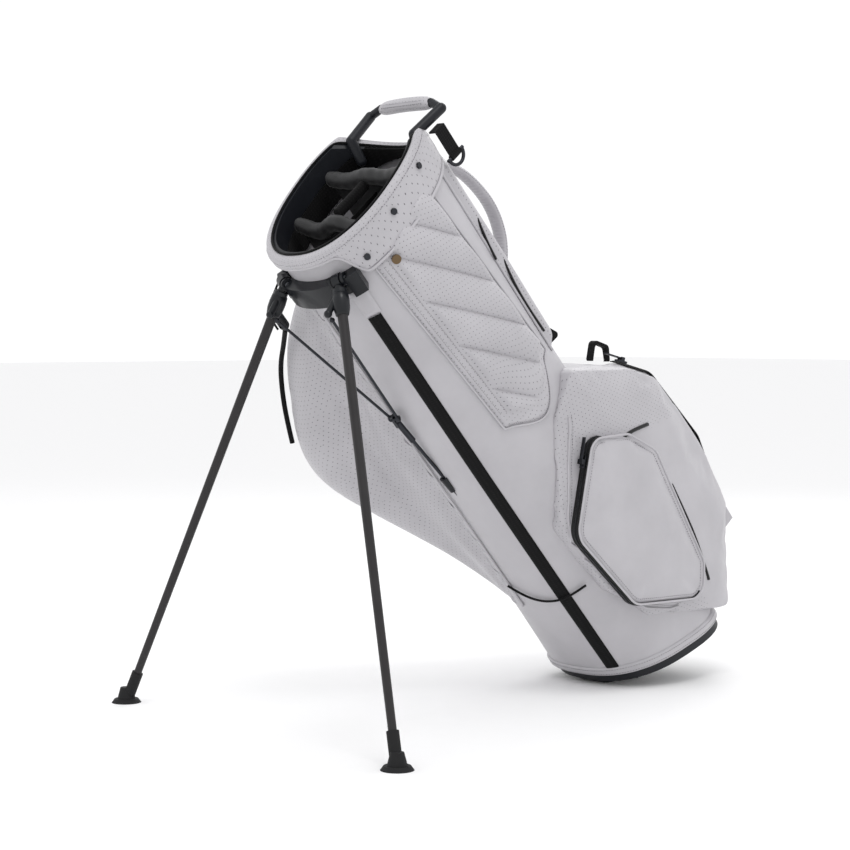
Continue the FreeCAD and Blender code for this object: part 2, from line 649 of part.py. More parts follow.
def far_pocket_shape():
    """The full-length clothes pocket on the far side, a soft shell that swells towards its middle."""
    profile = [(782.0, 0.10, 0.0), (735.0, 0.55, 2.0), (660.0, 0.90, 12.0), (600.0, 0.98, 32.0), (545.0, 1.0, 46.0),
               (490.0, 1.0, 42.0), (420.0, 0.94, 26.0), (340.0, 0.80, 10.0), (250.0, 0.52, 4.0), (180.0, 0.12, 0.0)]
    wires = []
    for z, share, reach in profile:
        inner = tube_arc(z, 52.0, 172.0, 1.2, 0.0, 13)
        first = inner.valueAt(inner.FirstParameter)
        last = inner.valueAt(inner.LastParameter)
        crown = [(10.0, 178.0), (-70.0, 196.0), (-138.0 - reach, 178.0), (-140.0 - reach, 132.0), (-121.0, 94.0),
                 (-113.5, 50.0)]
        outer = [first]
        for index, (x, y) in enumerate(crown):
            base = tube_point(z, between(62.0, 163.0, index / (len(crown) - 1)), 3.0)
            outer.append(V(between(base.x, x, share), between(base.y, y, share), z))
        outer.append(last)
        curve = Part.BSplineCurve()
        curve.interpolate(outer)
        wires.append(Part.Wire([curve.toShape(), inner]))
    return Part.makeLoft(wires, True, False)


def build_far_pocket():
    ball = slab(grow(BALL_OUTLINE, 1.5), -130.0, size("gusset_half") + 2.0)
    side = stand_side(1.0)
    path = LEAN.inverse()
    leg = rod(path.multVec(side["pivot"]), path.multVec(side["stored"]), size("leg_top_dia") / 2 + 5.5)
    shape = far_pocket_shape().cut([ball, leg])
    feature("far_pocket", sorted(shape.Solids, key=lambda solid: -solid.Volume)[0])


def build_spine():
    """A flat pocket along the spine, above the lower pocket."""
    high = size("tube_len") - size("cuff_tall") - 2 * size("gap")
    feature("spine_pocket", patch(levels_between(500.0, high), -48.0, 48.0, size("gap"), 12.0, 13))


BALL_OUTLINE = [(20.0, 444.0, 12.0), (96.0, 482.0, 20.0), (206.0, 392.0, 18.0), (248.0, 334.0, 40.0),
                (264.0, 190.0, 40.0), (236.0, 76.0, 30.0), (112.0, -28.0, 12.0), (-24.0, 96.0, 30.0),
                (-62.0, 190.0, 40.0), (-70.0, 320.0, 30.0)]


def build_ball_pocket():
    """The big lower pocket: it wraps the tube's spine side, with gussets that reach round both flanks."""
    half = size("gusset_half")
    side = slab(BALL_OUTLINE, -half, half)
    plan = [(-80.0, half), (95.0, half), (size("ball_back") + 16.0, size("ball_half"))]
    corners = [V(x, y, -120) for x, y in plan] + [V(x, -y, -120) for x, y in reversed(plan)]
    wire = Part.makePolygon(corners + [corners[0]])
    column = Part.Face(wire).extrude(V(0, 0, 700))
    upright = [edge for edge in column.Edges if abs(edge.tangentAt(edge.FirstParameter).z) > 0.99
               and edge.Vertexes[0].X > 90]
    column = column.makeFillet(26.0, upright)
    tube = tube_solid([(-60.0, size("base_slope"))] + levels_between(0.0, size("tube_len")), size("gap"))
    band = tube_solid([(-40.0, size("base_slope")), (18.0, size("base_slope"))], 3.5)
    body = side.common(column).cut([tube, band])
    body = sorted(body.Solids, key=lambda solid: -solid.Volume)[0]
    feature("ball_pocket", body)
    feature("ball_zip", zip_band(BALL_OUTLINE, -size("ball_half") + 25.0, V(205, -300, 62)))


def zip_band(points, middle_y, corner):
    """A band just outside an outline, kept only beyond a corner: positive X and Z of it, or X below it."""
    half = size("zip_wide") / 2
    gap = size("gap")
    thick = size("zip_thick") + gap
    outer = slab([(x, z, r + thick) for x, z, r in grow(points, thick)], middle_y - half, middle_y + half)
    inner = slab([(x, z, r + gap) for x, z, r in grow(points, gap)], middle_y - 40, middle_y + 40)
    band = outer.cut(inner).common(Part.makeBox(600, 600, 600, corner))
    return sorted(band.Solids, key=lambda solid: -solid.Volume)[0]


SIDE_OUTLINE = [(46.0, 390.0, 24.0), (-66.0, 305.0, 30.0), (-46.0, 148.0, 34.0), (62.0, 52.0, 26.0), (98.0, 92.0, 22.0),
                (130.0, 290.0, 28.0), (104.0, 346.0, 24.0)]


def build_side_pocket():
    """The round-cornered pocket on the near gusset, and the zipper round its hip-side edge."""
    wall = -size("gusset_half") - size("gap")
    outer = wall - size("side_thick")
    feature("side_pocket", slab(SIDE_OUTLINE, outer, wall))
    middle_y = wall - size("side_thick") / 2
    feature("side_zip", zip_band(SIDE_OUTLINE, middle_y, V(70 - 600, -300, -50)))


def grow(points, out):
    """The same outline with every corner moved outwards along its bisector, so that its sides move by out."""
    count = len(points)
    result = []
    for i in range(count):
        before, here, after = (V(p[0], 0, p[1]) for p in (points[i - 1], points[i], points[(i + 1) % count]))
        a = (before - here).normalize()
        b = (after - here).normalize()
        half = a.getAngle(b) / 2
        here = here - (a + b).normalize() * (out / math.sin(half))
        result.append((here.x, here.z, points[i][2]))
    return result


def zip_frame(points, index, run, middle_y):
    """A slider's placement on an outline's side: X along the side from corner index, Z outwards."""
    start = V(points[index][0], 0, points[index][1])
    following = points[(index + 1) % len(points)]
    along = (V(following[0], 0, following[1]) - start).normalize()
    outward = V(along.z, 0, -along.x)
    middle = V(sum(p[0] for p in points) / len(points), 0, sum(p[1] for p in points) / len(points))
    if outward.dot(start - middle) < 0:
        outward = outward * -1
    place = start + along * run + outward * (size("zip_thick") + 2 * size("gap")) + V(0, middle_y, 0)
    return LEAN.multiply(FreeCAD.Placement(place, FreeCAD.Rotation(along, V(0, 0, 0), outward, "ZXY")))


def build_slider(name, frame):
    """A zip slider with a bar across its two cheeks, and the pull tab that hangs on the bar."""
    plate = Part.makeBox(18.0, 9.0, 3.0, V(-9.0, -4.5, 0))
    cheeks = [Part.makeBox(7.0, 1.4, 6.0, V(-3.5, y, 2.0)) for y in (-4.5, 3.1)]
    bar = Part.makeCylinder(0.9, 9.0, V(0, -4.5, 6.0), V(0, 1, 0))
    feature(name + "_slider", plate.fuse(cheeks + [bar]), frame)
    eye = Part.makeCylinder(2.4, 5.4, V(0, -2.7, 6.0), V(0, 1, 0))
    tab = Part.makeBox(34.0, 5.4, 2.0, V(-35.0, -2.7, 5.2))
    bore = Part.makeCylinder(0.9 + size("pin_play"), 12.0, V(0, -6.0, 6.0), V(0, 1, 0))
    feature(name + "_pull", eye.fuse(tab).cut(bore), frame)


def build_sliders():
    side_y = -size("gusset_half") - size("gap") - size("side_thick") / 2
    build_slider("side", zip_frame(SIDE_OUTLINE, 0, 34.0, side_y))
    build_slider("ball", zip_frame(BALL_OUTLINE, 2, 14.0, -size("ball_half") + 25.0))


def build_grab_loop():
    points = [V(146, 0, 816), V(170, 0, 797), V(194, 0, 762), V(206, 0, 718), V(206, 0, 680), V(194, 0, 644),
              V(172, 0, 616), V(146, 0, 600)]
    path, radii = smooth_path(points)
    normal = (points[1] - points[0]).normalize()
    ellipse = Part.Ellipse(V(0, 0, 0), size("loop_dia") / 2, 7.0).toShape()
    ellipse.Placement = FreeCAD.Placement(points[0], FreeCAD.Rotation(V(0, 1, 0), V(0, 0, 0), normal, "ZXY"))
    loop = path.makePipeShell([Part.Wire([ellipse])], True, False)
    loop = loop.cut([node("spine_pocket"), node("shell_back")])
    feature("grab_loop", sorted(loop.Solids, key=lambda solid: -solid.Volume)[0])
    print("grab_loop radii", ["%.0f" % r for r in radii], "length %.0f" % path.Length)


def build_towel_ring():
    """Webbing from the handle's near foot, and the D-ring that swings in its end."""
    hold = V(139.5, -88.0, 830.0)
    half = size("ring_dia") / 2
    wire = size("ring_wire") / 2
    frame = LEAN.multiply(FreeCAD.Placement(hold, FreeCAD.Rotation(V(0, 0, 1), -90.0)))
    bow = Part.makeTorus(half - wire, wire, V(0, 0, 0), V(1, 0, 0), 0, 360, 360)
    bow = bow.common(Part.makeBox(80, 80, 40, V(-40, -40, -40)))
    bar = Part.makeCylinder(wire, 2 * half, V(0, -half, 0), V(0, 1, 0))
    feature("d_ring", bow.fuse(bar), frame)
    wide = 20.0
    strap = Part.makeBox(wide, 2.4, 42.0, hold + V(-wide / 2, -1.2, 3.0))
    fold = Part.makeBox(wide, 14.0, 2.4, hold + V(-wide / 2, -1.2, 42.6))
    sleeve = Part.makeCylinder(wire + 2.0, wide, hold - V(wide / 2, 0, 0), V(1, 0, 0))
    bore = Part.makeCylinder(wire + 2 * size("pin_play"), 2 * wide, hold - V(wide, 0, 0), V(1, 0, 0))
    webbing = strap.fuse([fold, sleeve]).cut([bore, node("cuff"), node("handle_frame"), node("spine_pocket")])
    feature("ring_webbing", sorted(webbing.Solids, key=lambda solid: -solid.Volume)[0])


def build_tie():
    """The cord lock that gathers the stand's tie, its spring button, the cord above and the strap below."""
    lock = V(-124.0, 104.0, 762.0)
    frame = LEAN.multiply(FreeCAD.Placement(lock, FreeCAD.Rotation()))
    shell = Part.makeCylinder(7.5, 20.0, V(0, 0, -10)).fuse(Part.makeSphere(7.5, V(0, 0, -10)))
    well = Part.makeCylinder(5.0, 14.0, V(0, 0, -2))
    hole = Part.makeCylinder(2.4, 30.0, V(-15, 0, -8), V(1, 0, 0))
    feature("cord_lock", shell.cut([well, hole]), frame)
    feature("lock_button", Part.makeCylinder(5.0 - size("pin_play"), 12.0, V(0, 0, 3)), frame)
    cord("tie_cord", [V(-92, 90, 812), V(-110, 97, 801), V(-128, 102, 787), V(-136, 104, 770), V(-136, 104, 754)], 1.6)
    cord("tie_strap", [V(-122, 112, 742), V(-120, 140, 716), V(-130, 167, 684), V(-145, 180, 648), V(-163, 185, 610),
                       V(-178, 187, 574)], 3.6)


def build_umbrella_cord():
    out = size("gap") + size("strip_thick") + 3.4
    route = [(232.0, 198.0), (219.0, 191.0), (206.0, 187.0), (193.0, 190.0), (181.0, 203.0), (173.0, 222.0)]
    cord("umbrella_cord", [tube_point(z, angle, out) for angle, z in route], 1.8)


def build_trim():
    fin = slab([(136.0, 514.0, 4.0), (172.0, 494.0, 6.0), (186.0, 466.0, 5.0), (136.0, 470.0, 4.0)], -11.0, 11.0)
    fin = fin.cut([node("shell_back"), node("ball_pocket"), node("spine_pocket")])
    feature("strap_anchor", sorted(fin.Solids, key=lambda solid: -solid.Volume)[0])
    arch = slab([(196.0, 404.0, 3.0), (222.0, 424.0, 8.0), (240.0, 396.0, 8.0), (226.0, 376.0, 3.0)], -26.0, -16.0)
    hole = slab([(197.0, 398.0, 2.0), (221.0, 417.0, 6.0), (234.0, 396.0, 6.0), (224.0, 378.0, 2.0)], -30.0, -10.0)
    feature("webbing_loop", arch.cut([hole, node("ball_pocket"), node("ball_zip")]))
    tab = Part.makeBox(30.0, 2.4, 32.0, V(222.0, -52.0, 26.0))
    feature("label_tab", tab.cut(node("ball_pocket")))
    buttons = []
    for sign in (-1, 1):
        for angle, z in ((74.0, 866.0), (100.0, 856.0), (128.0, 836.0)):
            start = tube_point(z, sign * angle, size("cuff_thick") + 0.6, 0.1)
            ahead = tube_point(z, sign * angle, size("cuff_thick") + 20.0, 0.1)
            buttons.append(rod(start, start + (ahead - start).normalize() * 2.6, 4.5))
    feature("rivets", Part.makeCompound(buttons))
    start = tube_point(800.0, 246.0, size("quilt_thick") + 1.0)
    ahead = tube_point(800.0, 246.0, size("quilt_thick") + 20.0)
    feature("snap", rod(start, start + (ahead - start).normalize() * 3.0, 6.5))


def node(label):
    """A finished piece's shape, back in the bag's own frame."""
    shape = [item for item in NODES if item.Label == label][0].Shape.copy()
    shape.Placement = LEAN.inverse().multiply(shape.Placement)
    return shape


def main():
    build_shell()
    build_stays()
    build_base()
    build_mouth()
    build_dividers()
    build_handle()
    build_bracket()
    for name, sign in SIDES:
        build_leg(name, sign)
    build_rods()
    build_lever()
    build_strip()
    build_quilt()
    build_far_pocket()
    build_spine()
    build_ball_pocket()
    build_side_pocket()
    build_sliders()
    build_grab_loop()
    build_towel_ring()
    build_tie()
    build_umbrella_cord()
    build_trim()
    doc.recompute()
    for item in doc.Objects:
        if "Invalid" in item.State or "Error" in item.State:
            raise RuntimeError("failed object: %s %s" % (item.Label, item.State))
    os.makedirs("parts", exist_ok=True)
    for item in NODES:
        shape = item.Shape
        if shape.isNull() or not shape.isValid() or not shape.Solids:
            raise RuntimeError("bad shape: " + item.Label)
        if len(shape.Solids) == 1:
            shape = shape.Solids[0]
        shape.exportStep("parts/%s.step" % item.Label)
    print(len(NODES), "nodes")


main()
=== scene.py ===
import bmesh
import bpy
import math
from mathutils import Matrix, Vector
from mathutils.bvhtree import BVHTree


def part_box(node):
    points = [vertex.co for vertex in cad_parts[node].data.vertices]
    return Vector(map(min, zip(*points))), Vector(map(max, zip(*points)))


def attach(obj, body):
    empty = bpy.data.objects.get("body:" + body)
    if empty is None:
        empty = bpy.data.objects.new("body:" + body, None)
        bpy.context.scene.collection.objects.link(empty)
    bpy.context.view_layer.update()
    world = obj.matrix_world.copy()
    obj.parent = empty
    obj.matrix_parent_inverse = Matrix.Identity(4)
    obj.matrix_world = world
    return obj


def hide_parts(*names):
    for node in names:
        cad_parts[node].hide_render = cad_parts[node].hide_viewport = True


# Golf stand bag in white synthetic leather, standing on its two legs. Metres, in the frame of the CAD model.
# Helpers take millimetres in the bag's own upright frame: X from hip side to spine side, Y across, Z to the mouth.

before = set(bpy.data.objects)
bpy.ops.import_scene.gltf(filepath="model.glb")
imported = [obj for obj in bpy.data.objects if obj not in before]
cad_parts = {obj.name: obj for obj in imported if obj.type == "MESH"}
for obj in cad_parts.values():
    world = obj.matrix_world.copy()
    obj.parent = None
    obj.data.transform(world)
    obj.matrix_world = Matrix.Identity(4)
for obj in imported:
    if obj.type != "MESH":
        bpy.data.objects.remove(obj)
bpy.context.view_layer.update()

MM = 0.001
BAG = Matrix.Translation((0.062, 0, 0.052)) @ Matrix.Rotation(math.radians(-41.0), 4, "Y")
TUBE_LEN = 882.0
MOUTH_SLOPE = 0.164
BASE_SLOPE = -0.384
DIP_RADIUS = 102.0
DIP_LOW = 851.0


def mix(low, high, share):
    return low + (high - low) * share


def ease(share):
    share = max(0.0, min(1.0, share))
    return share * share * (3 - 2 * share)


def place(point):
    return BAG @ (Vector(point) * MM)


def in_bag(world):
    return (BAG.inverted() @ world) / MM


# ------------------------------------------------------------------ the tube's cross-section, as in the CAD model

def tube_values(z):
    share = max(0.0, min(1.0, z / TUBE_LEN))
    return (mix(8.0, 15.0, min(1, share * 2)), mix(118.0, 127.0, min(1, share * 2)),
            mix(112.0, 107.0, min(1, share * 2)), mix(2.6, 2.3, min(1, share * 4)))


def slope_at(z):
    table = [(0.0, BASE_SLOPE), (0.125, -0.24), (0.25, -0.12), (0.5, 0.0), (0.75, 0.05), (1.0, MOUTH_SLOPE)]
    share = z / TUBE_LEN
    for (low, first), (high, second) in zip(table, table[1:]):
        if share <= high:
            return mix(first, second, (share - low) / (high - low))
    return table[-1][1]


def on_tube(z, angle, out=0.0, slope=None):
    middle, deep, wide, power = tube_values(z)
    c = math.cos(math.radians(angle))
    s = math.sin(math.radians(angle))
    x = (deep + out) * math.copysign(abs(c) ** (2 / power), c)
    y = (wide + out) * math.copysign(abs(s) ** (2 / power), s)
    return Vector((middle + x, y, z + (slope_at(z) if slope is None else slope) * x))


def near_side(x, z, out=0.0):
    """The point of the near flank that lies over (x, z)."""
    middle, deep, wide, power = tube_values(z)
    share = min(0.995, abs(x - middle) / (deep + out))
    return Vector((x, -(wide + out) * (1 - share ** power) ** (1 / power), z))


# ------------------------------------------------------------------ materials

def linear(hex_colour):
    channels = [int(hex_colour[i:i + 2], 16) / 255 for i in (1, 3, 5)]
    return [c / 12.92 if c <= 0.04045 else ((c + 0.055) / 1.055) ** 2.4 for c in channels] + [1.0]


def add(tree, kind, inputs=(), **settings):
    """Adds a node: settings are its own properties, inputs maps socket names or numbers to values or sockets."""
    node = tree.nodes.new(kind)
    for name, value in settings.items():
        setattr(node, name, value)
    for key, value in dict(inputs).items():
        if isinstance(value, bpy.types.NodeSocket):
            tree.links.new(value, node.inputs[key])
        else:
            node.inputs[key].default_value = value
    return node


def maths(tree, operation, first, second=0.0):
    return add(tree, "ShaderNodeMath", {0: first, 1: second}, operation=operation).outputs[0]


def finish(name, shader_inputs):
    material = bpy.data.materials.new(name)
    material.use_nodes = True
    tree = material.node_tree
    shader = tree.nodes["Principled BSDF"]
    for key, value in shader_inputs.items():
        shader.inputs[key].default_value = value
    return material, tree, shader


def grain(tree, coords, size_mm, per_metre=True):
    """Noise whose features are about size_mm wide; coords are in metres or, from a UV map, in millimetres."""
    scale = (1000.0 if per_metre else 1.0) / size_mm
    return add(tree, "ShaderNodeTexNoise", {"Vector": coords, "Scale": scale, "Detail": 4.0, "Roughness": 0.6})


def leather(name, light, shade, perforated=False, puff=0.35):
    """Coated microfibre leather, pressed with a fine pebble grain: soft wide highlights and faint tone changes.
    The perforated one has rows of punched holes 7 mm apart, a shade larger than real so that they show."""
    material, tree, shader = finish(name, {"Roughness": 0.46, "IOR": 1.48, "Sheen Weight": 0.12})
    body = add(tree, "ShaderNodeTexCoord").outputs["Object"]
    cloudy = grain(tree, body, 90.0)
    colour = add(tree, "ShaderNodeValToRGB", {"Fac": cloudy.outputs["Fac"]})
    colour.color_ramp.elements[0].position = 0.3
    colour.color_ramp.elements[0].color = linear(shade)
    colour.color_ramp.elements[1].position = 0.7
    colour.color_ramp.elements[1].color = linear(light)
    pebble = add(tree, "ShaderNodeTexVoronoi", {"Vector": body, "Scale": 1000.0 / 1.3}, feature="SMOOTH_F1")
    fine = grain(tree, body, 0.7)
    height = maths(tree, "ADD", maths(tree, "MULTIPLY", pebble.outputs["Distance"], 0.5),
                   maths(tree, "MULTIPLY", fine.outputs["Fac"], 0.4))
    base = colour.outputs["Color"]
    if perforated:
        sheet = add(tree, "ShaderNodeTexCoord").outputs["UV"]
        part = add(tree, "ShaderNodeSeparateXYZ", {0: sheet})
        row = maths(tree, "DIVIDE", part.outputs["Y"], 6.0)
        shift = maths(tree, "MULTIPLY", maths(tree, "MODULO", maths(tree, "FLOOR", row), 2.0), 0.5)
        column = maths(tree, "ADD", maths(tree, "DIVIDE", part.outputs["X"], 7.0), shift)
        dx = maths(tree, "SUBTRACT", maths(tree, "FRACT", column), 0.5)
        dy = maths(tree, "SUBTRACT", maths(tree, "FRACT", row), 0.5)
        far = maths(tree, "SQRT", maths(tree, "ADD", maths(tree, "MULTIPLY", dx, dx), maths(tree, "MULTIPLY", dy, dy)))
        hole = maths(tree, "LESS_THAN", far, 0.095)
        punched = add(tree, "ShaderNodeMix", {0: hole, 6: base, 7: linear("#5f5d61")}, data_type="RGBA")
        base = punched.outputs[2]
        height = maths(tree, "SUBTRACT", height, maths(tree, "MULTIPLY", hole, 1.6))
    tree.links.new(base, shader.inputs["Base Color"])
    bump = add(tree, "ShaderNodeBump", {"Height": height, "Strength": puff, "Distance": 0.0006})
    tree.links.new(bump.outputs[0], shader.inputs["Normal"])
    return material


def moulded(name, colour, rough=0.5, grit=0.9, strength=0.25, coat=0.0, vary=0.3):
    """Injection-moulded nylon or rubber with a spark-eroded texture: dull, with a broken highlight."""
    material, tree, shader = finish(name, {"Roughness": rough, "IOR": 1.5, "Specular IOR Level": 0.28, "Coat Weight": coat})
    body = add(tree, "ShaderNodeTexCoord").outputs["Object"]
    speck = grain(tree, body, grit)
    patchy = grain(tree, body, 35.0)
    colour_ramp = add(tree, "ShaderNodeValToRGB", {"Fac": patchy.outputs["Fac"]})
    dark = linear(colour)
    colour_ramp.color_ramp.elements[0].color = [c * (1 - vary) for c in dark[:3]] + [1]
    colour_ramp.color_ramp.elements[1].color = [c * (1 + vary) for c in dark[:3]] + [1]
    tree.links.new(colour_ramp.outputs["Color"], shader.inputs["Base Color"])
    worn = add(tree, "ShaderNodeMapRange", {"Value": patchy.outputs["Fac"], "To Min": rough - 0.08, "To Max": rough + 0.1})
    tree.links.new(worn.outputs[0], shader.inputs["Roughness"])
    bump = add(tree, "ShaderNodeBump", {"Height": speck.outputs["Fac"], "Strength": strength, "Distance": 0.0004})
    tree.links.new(bump.outputs[0], shader.inputs["Normal"])
    return material


def woven(name, colour, pitch=1.6, rough=0.8):
    """Woven polyester: crossing ribs about a pitch apart, with a slight sheen on their crowns; its colour is painted
    lighter on the crowns and darker in the valleys, as painted highlight and painted shade.
    """
    material, tree, shader = finish(name, {"Roughness": rough, "IOR": 1.45, "Specular IOR Level": 0.2, "Sheen Weight": 0.06})
    body = add(tree, "ShaderNodeTexCoord").outputs["Object"]
    turned = add(tree, "ShaderNodeMapping", {"Vector": body, "Rotation": (0.0, math.radians(41.0), 0.0)}).outputs[0]
    ribs = []
    for direction in ("X", "Z"):
        wave = add(tree, "ShaderNodeTexWave", {"Vector": turned, "Scale": 1000.0 / pitch / 20.0 * math.pi,
                                               "Distortion": 0.4, "Detail": 1.0}, bands_direction=direction)
        ribs.append(wave.outputs["Fac"])
    height = maths(tree, "MULTIPLY", ribs[0], ribs[1])
    # Painted light: the ramp darkens the rib valleys to half the colour (painted shade) and lightens the crowns to 1.7
    # times it (painted highlight).
    rib_light_and_shade = add(tree, "ShaderNodeValToRGB", {"Fac": height})
    dark = linear(colour)
    rib_light_and_shade.color_ramp.elements[0].color = [c * 0.5 for c in dark[:3]] + [1]
    rib_light_and_shade.color_ramp.elements[1].color = [c * 1.7 for c in dark[:3]] + [1]
    tree.links.new(rib_light_and_shade.outputs["Color"], shader.inputs["Base Color"])
    bump = add(tree, "ShaderNodeBump", {"Height": height, "Strength": 0.5, "Distance": 0.0005})
    tree.links.new(bump.outputs[0], shader.inputs["Normal"])
    return material


def metal(name, colour, rough, grit=0.5):
    """Steel or brass with a fine drawn or cast surface."""
    material, tree, shader = finish(name, {"Metallic": 1.0, "Roughness": rough, "Base Color": linear(colour)})
    body = add(tree, "ShaderNodeTexCoord").outputs["Object"]
    speck = grain(tree, body, grit)
    worn = add(tree, "ShaderNodeMapRange", {"Value": grain(tree, body, 12.0).outputs["Fac"],
                                            "To Min": rough - 0.1, "To Max": rough + 0.15})
    tree.links.new(worn.outputs[0], shader.inputs["Roughness"])
    bump = add(tree, "ShaderNodeBump", {"Height": speck.outputs["Fac"], "Strength": 0.15, "Distance": 0.0002})
    tree.links.new(bump.outputs[0], shader.inputs["Normal"])
    return material


MAT = {
    "leather": leather("white_microfibre_leather", "#bab8bc", "#b0aeb2"),
    "perforated": leather("perforated_white_leather", "#b9b7bb", "#afadb1", perforated=True),
    "vinyl": leather("black_padded_vinyl", "#121214", "#0d0d0f"),
    "plastic": moulded("black_moulded_nylon", "#191b20", 0.42, 1.0, 0.2),
    "gloss": moulded("black_smooth_nylon", "#15171b", 0.34, 1.4, 0.1, coat=0.1),
    "rubber": moulded("black_moulded_rubber", "#1b1b1c", 0.68, 0.8, 0.4),
    "tube": moulded("satin_powder_coat", "#2b292a", 0.36, 0.6, 0.15),
    "webbing": woven("black_polyester_webbing", "#0c0c0d", 1.8),
    "lining": woven("black_brushed_lining", "#0c0b0c", 2.2, 0.9),
    "tape": moulded("coated_zip_tape", "#101011", 0.38, 1.2, 0.15),
    "dark_steel": metal("black_oxide_steel", "#3a3b3f", 0.38),
    "bronze": metal("antique_bronze", "#6b5a45", 0.32),
    "steel": metal("plain_steel", "#a8abb0", 0.3),
    # The white thread is coloured a mid grey, darker than the leather it lies on: painted shade of the stitched
    # grooves, so the stitch lines read dark.
    "thread": woven("white_polyester_thread", "#8b888e", 0.6, 0.7),
}

# ------------------------------------------------------------------ making pieces

TO_WORLD = BAG @ Matrix.Scale(MM, 4)


def piece(name, bm, material, slot, replaces=(), body="bag", local=True, smooth=True):
    """Turns a bmesh into a finished object: it rides a body, has a material and stands for CAD nodes."""
    if local:
        bmesh.ops.transform(bm, matrix=TO_WORLD, verts=bm.verts)
    mesh = bpy.data.meshes.new(name)
    for face in bm.faces:
        face.smooth = smooth
    bm.to_mesh(mesh)
    bm.free()
    obj = bpy.data.objects.new(name, mesh)
    bpy.context.scene.collection.objects.link(obj)
    mesh.materials.append(MAT[material])
    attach(obj, body)
    if replaces:
        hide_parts(*replaces)
    return obj


def modifier(obj, kind, **settings):
    made = obj.modifiers.new(kind.title(), kind)
    for key, value in settings.items():
        setattr(made, key, value)
    return made


def subdivide(obj, levels=1):
    modifier(obj, "SUBSURF", levels=levels, render_levels=levels)


def surface(name, mapper, rows, cols, material, slot, uv=(100, 100), ring=False, thick=0.0, outside=None, **rest):
    """A grid laid over mapper(s, t), with a UV map in millimetres and an optional wall thickness inwards."""
    bm = bmesh.new()
    bmesh.ops.create_grid(bm, x_segments=rows, y_segments=cols, size=0.5)
    shares = {v: (v.co.x + 0.5, v.co.y + 0.5) for v in bm.verts}
    layer = bm.loops.layers.uv.new("UVMap")
    for face in bm.faces:
        for loop in face.loops:
            s, t = shares[loop.vert]
            loop[layer].uv = (s * uv[0], t * uv[1])
    for v, (s, t) in shares.items():
        v.co = mapper(s, t)
    if ring:
        bmesh.ops.remove_doubles(bm, verts=bm.verts, dist=0.05)
    bm.normal_update()
    centre = outside or (lambda co: Vector((tube_values(co.z)[0], 0, co.z)))
    facing = sum(f.normal.dot(f.calc_center_median() - centre(f.calc_center_median())) for f in bm.faces)
    if facing < 0:
        bmesh.ops.reverse_faces(bm, faces=bm.faces)
    obj = piece(name, bm, material, slot, **rest)
    if thick:
        modifier(obj, "SOLIDIFY", thickness=thick * MM, offset=-1.0)
    return obj


def tube_path(name, points, radius, material, slot, flat=1.0, sides=5, cyclic=False, local=True, body="bag",
              replaces=()):
    """A round cord, piping or wire through points, as a mesh; its flat argument is not used."""
    data = bpy.data.curves.new(name, "CURVE")
    data.dimensions = "3D"
    spline = data.splines.new("NURBS")
    spline.points.add(len(points) - 1)
    for point, co in zip(spline.points, points):
        point.co = (*(place(co) if local else co), 1.0)
    spline.order_u = 3
    spline.use_endpoint_u = not cyclic
    spline.use_cyclic_u = cyclic
    spline.resolution_u = 6
    data.bevel_depth = radius * MM
    data.bevel_resolution = sides // 2
    data.use_fill_caps = True
    holder = bpy.data.objects.new(name + "_curve", data)
    bpy.context.scene.collection.objects.link(holder)
    bpy.context.view_layer.update()
    mesh = bpy.data.meshes.new_from_object(holder.evaluated_get(bpy.context.evaluated_depsgraph_get()))
    bpy.data.objects.remove(holder)
    bm = bmesh.new()
    bm.from_mesh(mesh)
    bpy.data.meshes.remove(mesh)
    bmesh.ops.remove_doubles(bm, verts=bm.verts, dist=1e-6)
    return piece(name, bm, material, slot, replaces=replaces, body=body, local=False)


def free_cord(name, points, radius, node):
    """A loose cord or strap: a smooth line through its control points."""
    data = bpy.data.curves.new(name, "CURVE")
    data.dimensions = "3D"
    spline = data.splines.new("NURBS")
    spline.points.add(len(points) - 1)
    for point, co in zip(spline.points, points):
        point.co = (*place(co), 1.0)
    spline.order_u = 3
    spline.use_endpoint_u = True
    spline.resolution_u = 16
    data.bevel_depth = radius * MM
    data.bevel_resolution = 4
    data.use_fill_caps = True
    data.materials.append(MAT["webbing"])
    obj = bpy.data.objects.new(name, data)
    bpy.context.scene.collection.objects.link(obj)
    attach(obj, "bag")
    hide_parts(node)
    return obj


def even_points(points, pitch):
    """Points a pitch apart along a polyline, with the direction at each."""
    result = []
    carry = pitch / 2
    for a, b in zip(points, points[1:]):
        run = (b - a).length
        along = (b - a) / run if run else Vector((1, 0, 0))
        while carry < run:
            result.append((a + along * carry, along))
            carry += pitch
        carry -= run
    return result


def stitches(name, lines, normal_at, material="thread", pitch=4.2, long=2.9, thick=0.9):
    """Rows of single stitches, each a small domed bar that lies on the leather."""
    bm = bmesh.new()
    for points in lines:
        for spot, along in even_points([Vector(p) for p in points], pitch):
            up = normal_at(spot).normalized()
            across = up.cross(along).normalized()
            turn = Matrix((along, across, along.cross(across))).transposed().to_4x4()
            shape = Matrix.Translation(spot) @ turn @ Matrix.Diagonal((long / 2, thick / 2, thick / 2, 1))
            bmesh.ops.create_icosphere(bm, subdivisions=1, radius=1.0, matrix=shape)
    return piece(name, bm, material, "white_leather")


def away(point):
    """The direction straight out of the tube."""
    return Vector((point[0] - tube_values(point[2])[0], point[1], 0))


def side_normal(point):
    return Vector((0, -1, 0))


def tube_gap(p):
    """How far a place is outside the tube, roughly, in millimetres."""
    middle, deep, wide, power = tube_values(p.z)
    share = (abs((p.x - middle) / deep) ** power + abs(p.y / wide) ** power) ** (1 / power)
    return (share - 1) * 115.0


